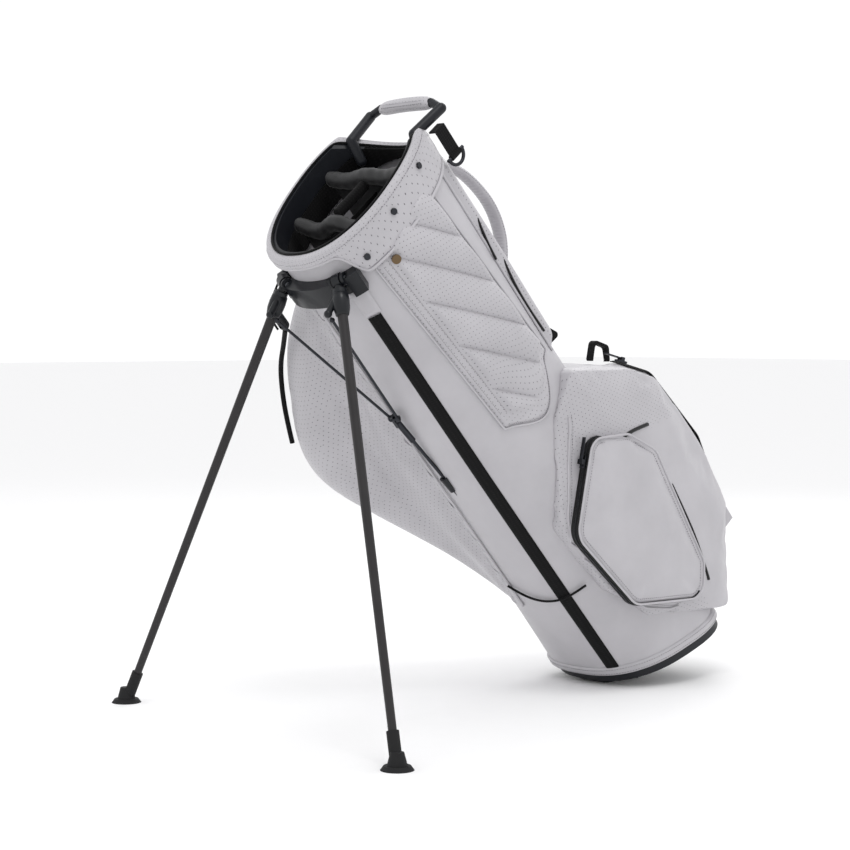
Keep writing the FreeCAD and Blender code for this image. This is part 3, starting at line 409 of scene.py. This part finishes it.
def swell(name, node, material, voxel=5.5, pressure=4.0, cap=7.0, shrink=2.0, pick=None, smooths=3,
          hold=None):
    """A stuffed copy of a CAD solid: remeshed, blown up by cloth pressure, capped and smoothed. Its seams on the
    tube, and wherever hold(p) is true, are pinned; its edge is sunk into the tube's skin."""
    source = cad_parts[node]
    bm = bmesh.new()
    bm.from_mesh(source.data)
    bmesh.ops.remove_doubles(bm, verts=bm.verts, dist=1e-5)
    mesh = bpy.data.meshes.new(name)
    bm.to_mesh(mesh)
    bm.free()
    obj = bpy.data.objects.new(name, mesh)
    bpy.context.scene.collection.objects.link(obj)
    bpy.context.view_layer.objects.active = obj
    for other in bpy.context.selected_objects:
        other.select_set(False)
    obj.select_set(True)
    remesh = obj.modifiers.new("Remesh", "REMESH")
    remesh.mode = "VOXEL"
    remesh.voxel_size = voxel * MM
    bpy.ops.object.modifier_apply(modifier=remesh.name)
    soften = obj.modifiers.new("Soften", "SMOOTH")
    soften.iterations = smooths
    soften.factor = 0.5
    bpy.ops.object.modifier_apply(modifier=soften.name)
    rest = [v.co.copy() for v in obj.data.vertices]
    held = [v.index for v in obj.data.vertices
            if tube_gap(in_bag(v.co)) < 5.0 or (hold and hold(in_bag(v.co)))]
    fixed = set(held)
    for v in obj.data.vertices:
        if v.index not in fixed:
            v.co -= v.normal * shrink * MM
    group = obj.vertex_groups.new(name="seams")
    group.add(held, 1.0, "REPLACE")
    cloth = obj.modifiers.new("Cloth", "CLOTH")
    settings = cloth.settings
    settings.use_pressure = True
    settings.uniform_pressure_force = pressure
    settings.effector_weights.gravity = 0.0
    settings.tension_stiffness = 25
    settings.compression_stiffness = 25
    settings.bending_stiffness = 4
    settings.vertex_group_mass = "seams"
    cloth.point_cache.frame_start = 1
    cloth.point_cache.frame_end = 12
    for step in range(1, 13):
        bpy.context.scene.frame_set(step)
    bpy.ops.object.modifier_apply(modifier=cloth.name)
    bpy.context.scene.frame_set(1)
    for v, start in zip(obj.data.vertices, rest):
        move = v.co - start
        if move.length > cap * MM:
            v.co = start + move * (cap * MM / move.length)
        spot = in_bag(v.co)
        gap = tube_gap(spot)
        if gap < 6.0:
            inward = Vector((tube_values(spot.z)[0] - spot.x, -spot.y, 0)).normalized()
            v.co = place(spot + inward * min(6.0, (6.0 - gap) * 0.8))
    bm = bmesh.new()
    bm.from_mesh(obj.data)
    for face in bm.faces:
        face.smooth = True
    bmesh.ops.smooth_vert(bm, verts=bm.verts, factor=0.5, use_axis_x=True, use_axis_y=True, use_axis_z=True)
    layer = bm.loops.layers.uv.new("UVMap")
    turn = BAG.inverted().to_3x3()
    bm.normal_update()
    for face in bm.faces:
        for loop in face.loops:
            loop[layer].uv = box_uv(in_bag(loop.vert.co), turn @ face.normal)
    bm.to_mesh(obj.data)
    bm.free()
    obj.data.materials.clear()
    obj.data.materials.append(MAT[material])
    if pick:
        obj.data.materials.append(MAT["perforated"])
        for face in obj.data.polygons:
            face.material_index = 1 if pick(in_bag(face.center)) else 0
    subdivide(obj)
    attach(obj, "bag")
    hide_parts(node)
    return obj


def box_uv(p, normal):
    """Millimetres across the face: the projection that suits the way it looks."""
    return (p.y, p.z) if abs(normal.x) > abs(normal.y) else (p.x, p.z)


def paint(material, *names):
    for name in names:
        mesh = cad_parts[name].data
        mesh.materials.clear()
        mesh.materials.append(MAT[material])


# ------------------------------------------------------------------ tube, base and mouth

def rim_at(angle, out=0.0):
    """Height of the rim, as a level of the tube: it dips in a round notch on the spine side."""
    spot = on_tube(TUBE_LEN, angle, out, MOUTH_SLOPE)
    if spot.x < 60 or abs(spot.y) > DIP_RADIUS:
        return TUBE_LEN
    notch = DIP_LOW + DIP_RADIUS - math.sqrt(DIP_RADIUS ** 2 - spot.y ** 2)
    drop = spot.z - notch
    return TUBE_LEN - max(0.0, (drop + math.sqrt(drop * drop + 16.0)) / 2)


def build_shell():
    def skin(s, t):
        z = mix(0.0, rim_at(360.0 * t) - 6.0, s)
        angle = 360.0 * t
        sag = 0.7 * math.sin(z / 61.0 + angle / 40.0) * math.sin(angle / 23.0)
        return on_tube(z, angle, -0.2 + sag * math.sin(math.pi * s))
    surface("tube_skin", skin, 120, 96, "leather", "white_leather", uv=(882, 760), ring=True, thick=2.2,
            replaces=("shell_front", "shell_left", "shell_right", "shell_back"))
    seam = [on_tube(z, 208.0, 0.4) for z in range(40, 790, 10)]
    stitches("hip_seam_stitches", [seam], away)


def build_base():
    def band(s, t):
        puff = 2.6 * (1 - (2 * s - 1) ** 6)
        return on_tube(mix(0.5, 17.0, s), 360.0 * t, puff, BASE_SLOPE)
    surface("base_band_skin", band, 12, 120, "leather", "white_leather", uv=(17, 760), ring=True,
            replaces=("base_band",))
    rows = [[on_tube(z, angle, 3.0, BASE_SLOPE) for angle in range(0, 361, 4)] for z in (4.5, 12.5)]
    stitches("base_band_stitches", rows, away)
    paint("plastic", "base_shell")
    paint("gloss", "base_lever")
    paint("steel", "lever_pin", "stays", "leg_pins")


def cuff_low(angle):
    """How far below its rim the cuff reaches: it is cut short over the leg bracket."""
    return mix(19.0, 62.0, ease((abs((angle % 360) - 180.0) - 33.0) / 16.0))


def build_cuff():
    profile = [(0.5, -1.0), (5.0, -1.01), (8.6, -0.93), (9.6, -0.6), (9.4, -0.3), (8.8, -0.1), (6.4, 0.0),
               (2.5, 0.02), (-1.2, 0.0), (-2.6, -0.05)]

    def skin(s, t):
        angle = 360.0 * t
        spot = s * (len(profile) - 1)
        index = min(int(spot), len(profile) - 2)
        (a, b), (c, d) = profile[index], profile[index + 1]
        out, drop = mix(a, c, spot - index), mix(b, d, spot - index)
        rim = rim_at(angle, out)
        low = TUBE_LEN - cuff_low(angle)
        return on_tube(rim + drop * (rim - low), angle, out, MOUTH_SLOPE * (1 + 0.2 * min(0, drop)))
    surface("cuff_skin", skin, 27, 180, "perforated", "white_leather", uv=(76, 756), ring=True, replaces=("cuff",))
    low = [on_tube(TUBE_LEN - cuff_low(a) - 1.0, a, 7.0, MOUTH_SLOPE * 0.8) for a in range(0, 360, 4)]
    tube_path("cuff_piping", low, 2.4, "leather", "white_leather", cyclic=True)
    rim = [on_tube(rim_at(a) + 0.6, a, -3.2, MOUTH_SLOPE) for a in range(0, 360, 4)]
    tube_path("mouth_trim", rim, 1.7, "webbing", "black_webbing", cyclic=True)
    row = [on_tube(rim_at(a, 9.0) - 7.0, a, 9.6, MOUTH_SLOPE) for a in range(0, 361, 3)]
    stitches("cuff_stitches", [row], away)
    paint("plastic", "top_ring")
    paint("lining", "inner_trim", "web_centre")
    paint("vinyl", "web_front", "web_back")


def padded_bar(name, node, wave, uprights):
    """A divider bar: foam under brushed cloth, fatter between its stitches and dipped where clubs rest."""
    low, high = (in_bag(corner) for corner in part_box(node))
    middle = (low + high) / 2
    if uprights:
        half = (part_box(node)[1].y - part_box(node)[0].y) / 2 / MM

        def skin(s, t):
            y = mix(-half, half, s)
            dip = wave * math.cos(y / half * math.pi * 2.0) - wave
            swollen = (10.6 + 0.25 * math.sin(y / 3.1)) * min(1.0, math.sin(math.pi * s) * 6 + 0.3)
            turn = 2 * math.pi * t
            return Vector((middle.x + swollen * math.cos(turn), y, middle.z + dip + swollen * 1.15 * math.sin(turn)))
        surface(name, skin, 60, 22, "vinyl", "black_lining", uv=(200, 70), ring=True, replaces=(node,),
                outside=lambda co: Vector((middle.x, co.y, middle.z)))
    else:
        paint("lining", node)


def build_dividers():
    padded_bar("front_bar_pad", "bar_front", 6.0, True)
    padded_bar("back_bar_pad", "bar_back", 2.5, True)
    padded_bar("centre_bar_pad", "bar_centre", 0.0, False)


def build_handle():
    paint("plastic", "handle_frame")
    low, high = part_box("handle_grip")
    middle = in_bag((low + high) / 2)
    half = (high.y - low.y) / 2 / MM

    def skin(s, t):
        turn = 2 * math.pi * t
        end = 1 - 0.35 * (2 * s - 1) ** 8
        bow = 2.5 * (1 - (2 * s - 1) ** 2)
        return Vector((middle.x + 10.6 * end * math.cos(turn), mix(-half, half, s),
                       middle.z + bow - 1.2 + 9.6 * end * math.sin(turn)))
    surface("grip_sleeve", skin, 40, 32, "perforated", "white_leather", uv=(106, 64), ring=True,
            replaces=("handle_grip",), outside=lambda co: Vector((middle.x, co.y, middle.z)))
    rows = [[Vector((middle.x + 10.9 * math.cos(a), y, middle.z + 9.9 * math.sin(a) + 1.0))
             for y in range(int(-half) + 6, int(half) - 5, 6)] for a in (2.2, 2.6)]
    stitches("grip_stitches", rows, lambda p: Vector((p[0] - middle.x, 0, p[2] - middle.z)))


# ------------------------------------------------------------------ luggage

def quilt_spot(s, t):
    left = Vector((mix(-70, -46, s), 0, mix(806, 492, s)))
    right = Vector((mix(58, 90, s), 0, mix(852, 520, s)))
    spot = left.lerp(right, t)
    spot.z -= 46.0 * ease((s - 0.72) / 0.28) * math.sin(math.pi * min(1.0, t * 1.15) ** 1.3)
    spot.z += 8.0 * (1 - ease(s / 0.2)) * math.sin(math.pi * t)
    return spot


CHANNEL = 49.0


def channel_of(x, z):
    """How far down the quilting a place is, in channels: the seams run nearly level when the bag stands."""
    world = place((x, 0, z)) / MM
    return (641.0 - (world.z + 0.17 * world.x)) / CHANNEL


def build_quilt():
    def skin(s, t):
        spot = quilt_spot(s, t)
        rim = min(ease(s / 0.03), ease((1 - s) / 0.03), ease(t / 0.05), ease((1 - t) / 0.06))
        inside = min(ease((t - 0.13) / 0.05), ease((0.95 - s) / 0.05), ease((1 - t) / 0.1), 1.0)
        wave = abs(math.sin(math.pi * channel_of(spot.x, spot.z))) ** 0.6
        out = rim * (2.2 + inside * 10.5 * wave + (1 - inside) * 2.0)
        return near_side(spot.x, spot.z, out)
    bm_uv = (330, 140)
    surface("quilted_panel", skin, 220, 96, "perforated", "white_leather", uv=bm_uv, replaces=("quilt_pocket",))
    lines = []
    for k in range(0, 7):
        for shift in (-0.055, 0.055):
            line = []
            for step in range(0, 61):
                t = mix(0.16, 0.97, step / 60)
                best = min(range(0, 101), key=lambda i: abs(channel_of(*xz(quilt_spot(i / 100, t))) - k - shift))
                spot = quilt_spot(best / 100, t)
                z = spot.z
                for _ in range(6):
                    z += (channel_of(spot.x, z) - k - shift) * CHANNEL / 0.755
                if 0.02 < best / 100 < 0.93:
                    line.append(near_side(spot.x, z, 3.9))
            if len(line) > 8:
                lines.append(line)
    for t in (0.05, 0.115):
        lines.append([near_side(*xz(quilt_spot(i / 60, t)), 4.3) for i in range(2, 56)])
    for s in (0.955, 0.985):
        lines.append([near_side(*xz(quilt_spot(s, i / 40)), 3.4) for i in range(2, 39)])
    stitches("quilt_stitches", lines, away, pitch=3.6, long=2.6)
    edge = [near_side(*xz(quilt_spot(i / 40, 1.0)), 1.5) for i in range(41)]
    edge += [near_side(*xz(quilt_spot(1.0, 1 - i / 20)), 1.5) for i in range(1, 21)]
    edge += [near_side(*xz(quilt_spot(1 - i / 40, 0.0)), 1.5) for i in range(1, 41)]
    tube_path("quilt_piping", edge, 1.6, "leather", "white_leather")


def xz(spot):
    return spot.x, spot.z


def build_spine():
    def skin(s, t):
        z = mix(502.0, 824.0, s)
        angle = mix(-47.0, 47.0, t)
        rim = min(ease(s / 0.06), ease((1 - s) / 0.05), ease(t / 0.07), ease((1 - t) / 0.07))
        return on_tube(z, angle, 0.6 + 10.5 * rim + 0.8 * math.sin(z / 47.0) * math.sin(angle / 9.0))
    surface("spine_panel", skin, 90, 60, "perforated", "white_leather", uv=(344, 190), replaces=("spine_pocket",))
    for sign in (-1, 1):
        for part, line in enumerate((((736, 40.0), (716, 44.5), (690, 47.5), (668, 48.5)),
                                     ((664, 41.0), (640, 44.5), (610, 46.5), (570, 47.0), (535, 46.0)))):
            slit = [on_tube(z, sign * angle, 8.5 - 0.9 * max(0.0, angle - 42.0)) for z, angle in line]
            tube_path("spine_zip_%s_%d" % ("near" if sign < 0 else "far", part), slit, 1.9, "tape", "zip_black")
        seam = [on_tube(z, sign * 47.5, 1.4) for z in range(504, 826, 12)]
        tube_path("spine_piping_%s" % ("near" if sign < 0 else "far"), seam, 2.0, "leather", "white_leather")


def build_grab_loop():
    route = [Vector(p) for p in ((146, 0, 816), (170, 0, 797), (194, 0, 762), (206, 0, 718), (206, 0, 680),
                                 (194, 0, 644), (172, 0, 616), (146, 0, 600))]
    dense = []
    for i in range(len(route) - 1):
        before = route[max(0, i - 1)]
        after = route[min(len(route) - 1, i + 2)]
        for k in range(10):
            u = k / 10
            a, b = route[i], route[i + 1]
            m0, m1 = (b - before) / 2, (after - a) / 2
            dense.append(a * (2 * u ** 3 - 3 * u ** 2 + 1) + m0 * (u ** 3 - 2 * u ** 2 + u)
                         + b * (3 * u ** 2 - 2 * u ** 3) + m1 * (u ** 3 - u ** 2))
    dense.append(route[-1])
    last = len(dense) - 1

    def skin(s, t):
        spot = s * last
        index = min(int(spot), last - 1)
        centre = dense[index].lerp(dense[index + 1], spot - index)
        along = (dense[index + 1] - dense[index]).normalized()
        normal = Vector((along.z, 0, -along.x))
        turn = 2 * math.pi * t
        crease = 1.0 + 0.06 * math.sin(spot * 4.6 + math.cos(turn)) * ease((math.sin(math.pi * s) - 0.3) * 3)
        return centre + normal * (6.4 * crease * math.sin(turn)) + Vector((0, 12.2 * math.cos(turn), 0))
    surface("grab_loop_pad", skin, 260, 24, "leather", "white_leather", uv=(259, 70), ring=True,
            replaces=("grab_loop",), outside=lambda co: min(dense, key=lambda d: (d - co).length))
    for sign in (-1, 1):
        row = [d + Vector((0, sign * 12.4, 0)) for d in dense[4:-4]]
        stitches("grab_loop_stitches_%d" % (sign > 0), [row], side_normal)


LEFT_SEAM = [(86.0, 519.0), (55.0, 456.0), (19.0, 412.0), (-65.0, 317.0), (-75.0, 276.0), (-53.0, 182.0),
             (-30.0, 113.0), (6.0, 73.0), (78.0, 30.0)]


def left_seam(z):
    """X of the seam between the ball pocket's front gusset and its side wall."""
    for (x_high, high), (x_low, low) in zip(LEFT_SEAM, LEFT_SEAM[1:]):
        if z >= low:
            return mix(x_low, x_high, min(1.0, (z - low) / (high - low))) + 9.0
    return LEFT_SEAM[-1][0]


PADS = {}


def on_pad(name, x, z, out):
    """The place over (x, z) on a padded piece's near face, lifted out of it."""
    if name not in PADS:
        PADS[name] = BVHTree.FromObject(bpy.data.objects[name], bpy.context.evaluated_depsgraph_get())
    hit, normal = PADS[name].ray_cast(place((x, -300.0, z)), Vector((0.0, 1.0, 0.0)))[:2]
    return in_bag(hit + normal * (out * MM)) if hit else Vector((x, -118.0, z))


def build_pockets():
    swell("far_pocket_pad", "far_pocket", "perforated", voxel=6.0, cap=8.0, shrink=4.0)
    swell("ball_pocket_pad", "ball_pocket", "leather", voxel=5.5, cap=7.0, shrink=3.5,
          hold=lambda p: abs(p.y + 59) < 9 and p.x > 198 and p.z > 55, pick=lambda p: abs(p.y) > 90
          and (p.z > 396 - 0.55 * p.x or p.x < left_seam(p.z)))
    swell("side_pocket_pad", "side_pocket", "leather", voxel=3.6, cap=7.0, shrink=3.0,
          hold=lambda p: (abs(p.y + 127.3) < 7 and p.x < 76) or p.y > -121)
    seam = [on_tube(z, 172.5, 2.2) for z in range(170, 784, 14)]
    tube_path("far_pocket_piping", seam, 1.9, "leather", "white_leather")


BALL_OUTLINE = [(20.0, 444.0, 12.0), (96.0, 482.0, 20.0), (206.0, 392.0, 18.0), (248.0, 334.0, 40.0),
                (264.0, 190.0, 40.0), (236.0, 76.0, 30.0), (112.0, -28.0, 12.0), (-24.0, 96.0, 30.0),
                (-62.0, 190.0, 40.0), (-70.0, 320.0, 30.0)]
SIDE_OUTLINE = [(46.0, 390.0, 24.0), (-66.0, 305.0, 30.0), (-46.0, 148.0, 34.0), (62.0, 52.0, 26.0), (98.0, 92.0, 22.0),
                (130.0, 290.0, 28.0), (104.0, 346.0, 24.0)]


def rounded(corners, out=0.0, steps=7):
    """Points (x, z) along an outline whose corners are rounded, moved outwards by out."""
    result = []
    count = len(corners)
    for i in range(count):
        before, here, after = (Vector(corners[k % count][:2]) for k in (i - 1, i, i + 1))
        a = (before - here).normalized()
        b = (after - here).normalized()
        half = a.angle(b) / 2
        radius = corners[i][2]
        centre = here + (a + b).normalized() * (radius / math.sin(half))
        first = here + a * (radius / math.tan(half)) - centre
        last = here + b * (radius / math.tan(half)) - centre
        for k in range(steps + 1):
            ray = first.lerp(last, k / steps).normalized() * (radius + out)
            result.append(centre + ray)
    return result


def build_trims():
    """Piping, stitching and zipper coils on the two outlined pockets."""
    side = [on_pad("side_pocket_pad", p.x, p.y, 0.3) for p in rounded(SIDE_OUTLINE, -7.0)]
    stitches("side_pocket_stitches", [side + side[:1]], side_normal)
    for name, y in (("outer", -135.5), ("inner", -119.0)):
        line = [Vector((p.x, y, p.y)) for p in rounded(SIDE_OUTLINE, 0.6)]
        tube_path("side_pocket_piping_" + name, line, 1.7, "leather", "white_leather", cyclic=True)
    seam = [(left_seam(z), z) for z in range(64, 440, 8)]
    front = [on_pad("ball_pocket_pad", x, z, 0.6) for x, z in seam]
    tube_path("gusset_piping", front, 2.0, "leather", "white_leather")
    stitches("gusset_stitches", [[on_pad("ball_pocket_pad", x + 7.0, z, 0.3) for x, z in seam]], side_normal)
    slot = [on_pad("ball_pocket_pad", x, z, 0.2) for x, z in ((96, 343), (112, 338), (134, 328), (160, 313))]
    tube_path("phone_slot", slot, 2.8, "tape", "zip_black")
    slit = [on_pad("ball_pocket_pad", x, z, 0.2) for x, z in ((136, 214), (128, 160), (116, 105), (100, 50))]
    tube_path("gusset_slit", slit, 2.6, "tape", "zip_black")
    for name, outline, middle, keep in (("side", SIDE_OUTLINE, -127.3, lambda p: p.x < 68),
                                        ("ball", BALL_OUTLINE, -59.0, lambda p: p.x > 206 and p.y > 64)):
        ribbon(name + "_zip_tape", outline, 2.6, middle - 7.7, middle + 7.7, name + "_zip", keep)
        teeth(name + "_zip_coil", [Vector((p.x, middle, p.y)) for p in run_along(outline, 2.8, keep)])
    paint("dark_steel", "side_slider", "ball_slider", "side_pull", "ball_pull", "rivets", "d_ring")
    paint("bronze", "snap")


def run_along(outline, out, keep):
    """The unbroken run of a rounded outline's points that keep(p) accepts."""
    line = rounded(outline, out, 10)
    first = next(i for i in range(len(line)) if keep(line[i]) and not keep(line[i - 1]))
    return [p for p in line[first:] + line[:first] if keep(p)]


def ribbon(name, outline, out, low_y, high_y, node, keep):
    """Zipper tape laid round an outline, between two Y levels, with a raised edge along each side."""
    line = run_along(outline, out, keep)
    bm = bmesh.new()
    rows = []
    for share, lift in ((0.0, -2.4), (0.03, 0.0), (0.2, 0.5), (0.25, 0.0), (0.75, 0.0), (0.8, 0.5), (0.97, 0.0), (1.0, -2.4)):
        y = mix(low_y, high_y, share)
        centre = sum((Vector(p) for p in line), Vector((0, 0))) / len(line)
        rows.append([bm.verts.new(Vector((p.x, y, p.y)) + Vector((p.x - centre.x, 0, p.y - centre.y)).normalized()
                                  * lift) for p in line])
    for low, high in zip(rows, rows[1:]):
        for k in range(len(line) - 1):
            bm.faces.new((low[k], low[k + 1], high[k + 1], high[k]))
    bmesh.ops.recalc_face_normals(bm, faces=bm.faces)
    piece(name, bm, "tape", "zip_black", replaces=(node,))


def teeth(name, points):
    """A zipper's coil: closely set short bars across the tape's middle."""
    bm = bmesh.new()
    ordered = points
    for spot, along in even_points(ordered, 1.9):
        across = Vector((0, 1, 0))
        up = along.cross(across).normalized()
        turn = Matrix((along, across, up)).transposed().to_4x4()
        bmesh.ops.create_cube(bm, size=1.0, matrix=Matrix.Translation(spot) @ turn @ Matrix.Diagonal((1.1, 4.0, 1.0, 1)))
    piece(name, bm, "gloss", "zip_black")


def build_straps():
    def strip(s, t):
        z = mix(19.0, 754.0, s)
        return on_tube(z, mix(205.9, 217.1, t), 0.5 + 1.5 * min(1.0, 8 * t, 8 * (1 - t)))
    surface("side_strip_webbing", strip, 90, 8, "webbing", "black_webbing", uv=(700, 22), replaces=("side_strip",))

    def cover(s, t):
        rim = min(ease(s / 0.12), ease((1 - s) / 0.12), ease(t / 0.15), ease((1 - t) / 0.15))
        return on_tube(mix(755.5, 800.0, s), mix(204.5, 218.5, t), 0.4 + 2.2 * rim)
    surface("strip_cover_tab", cover, 20, 16, "leather", "white_leather", uv=(45, 28), replaces=("strip_cover",))
    paint("webbing", "webbing_loop", "ring_webbing", "strap_anchor")
    free_cord("gather_cord", [(-92, 90, 812), (-110, 97, 801), (-128, 102, 787), (-136, 104, 770), (-136, 104, 754)],
              1.6, "tie_cord")
    free_cord("gather_strap", [(-122, 112, 742), (-120, 140, 716), (-130, 167, 684), (-145, 180, 648),
                               (-163, 185, 610), (-178, 187, 574)], 3.6, "tie_strap")
    route = ((232, 198), (219, 191), (206, 187), (193, 190), (181, 203), (173, 222))
    free_cord("umbrella_elastic", [on_tube(z, angle, 5.3) for angle, z in route], 1.8,
              "umbrella_cord")
    paint("perforated", "label_tab")


def build_stand():
    turned = [(17.0, 8.0), (20.0, 10.8), (30.0, 11.6), (40.0, 11.2), (46.0, 9.8), (49.5, 8.9), (50.5, 7.4)]
    for name, side in (("left", -1), ("right", 1)):
        pivot = place((-110.0, side * 58.7, 816.0))
        down = (Vector((-0.659, side * 0.303, 0.0)) - pivot).normalized()
        across = down.cross(Vector((0, 1, 0))).normalized()
        other = down.cross(across)
        bm = bmesh.new()
        rings = []
        for run, radius in turned:
            centre = pivot + down * (run * MM)
            rings.append([bm.verts.new(centre + (across * math.cos(2 * math.pi * k / 28)
                                                 + other * math.sin(2 * math.pi * k / 28)) * radius * MM)
                          for k in range(28)])
        for low, high in zip(rings, rings[1:]):
            for k in range(28):
                bm.faces.new((low[k], low[(k + 1) % 28], high[(k + 1) % 28], high[k]))
        bmesh.ops.recalc_face_normals(bm, faces=bm.faces)
        piece("leg_collar_" + name, bm, "gloss", "black_plastic", body="leg_" + name, local=False)
    paint("gloss", "leg_bracket", "leg_hub_left", "leg_hub_right", "rod_boot", "cord_lock", "lock_button")
    paint("tube", "leg_tube_left", "leg_tube_right")
    paint("rubber", "leg_foot_left", "leg_foot_right")
    paint("dark_steel", "push_rod", "link_rod_left", "link_rod_right")


# ------------------------------------------------------------------ stage

def lamp(name, spot, aim, watts, size):
    data = bpy.data.lights.new(name, "AREA")
    data.energy = watts
    data.shape = "DISK"
    data.size = size
    light = bpy.data.objects.new(name, data)
    light.location = spot
    light.rotation_euler = (Vector(aim) - Vector(spot)).to_track_quat("-Z", "Y").to_euler()
    bpy.context.scene.collection.objects.link(light)


def build_stage():
    bm = bmesh.new()
    bmesh.ops.create_grid(bm, x_segments=1, y_segments=1, size=30.0)
    mesh = bpy.data.meshes.new("studio_floor")
    bm.to_mesh(mesh)
    bm.free()
    floor = bpy.data.objects.new("studio_floor", mesh)
    bpy.context.scene.collection.objects.link(floor)
    paper = moulded("pale_paper", "#fdfdfd", 0.9, 2.0, 0.02, vary=0.01)
    mesh.materials.append(paper)
    world = bpy.data.worlds.new("studio")
    bpy.context.scene.world = world
    world.use_nodes = True
    sky = world.node_tree
    seen = add(sky, "ShaderNodeLightPath").outputs["Is Camera Ray"]
    strength = maths(sky, "ADD", 0.97, maths(sky, "MULTIPLY", seen, 0.1))
    sky.nodes["Background"].inputs["Color"].default_value = linear("#fcfcfd")
    sky.links.new(strength, sky.nodes["Background"].inputs["Strength"])
    lamp("key", (-0.9, -1.2, 3.4), (-0.2, 0, 0.4), 24.0, 1.2)
    lamp("rim", (1.8, 1.4, 2.4), (-0.2, 0, 0.5), 18.0, 1.6)
    bpy.context.scene.view_settings.view_transform = "Standard"


def build_camera():
    azimuth, pitch = math.radians(-40.449), math.radians(2.555)
    data = bpy.data.cameras.new("view")
    data.lens = 87.9
    data.sensor_width = 36.0
    data.clip_end = 100.0
    camera = bpy.data.objects.new("view", data)
    camera.location = (-2.2457, -2.2158, 0.5279)
    camera.rotation_euler = (math.pi / 2 - pitch, 0.0, azimuth)
    bpy.context.scene.collection.objects.link(camera)
    bpy.context.scene.camera = camera


for build in (build_shell, build_base, build_cuff, build_dividers, build_handle, build_quilt, build_spine,
              build_grab_loop, build_pockets, build_trims, build_straps, build_stand, build_stage, build_camera):
    build()

bpy.context.view_layer.update()
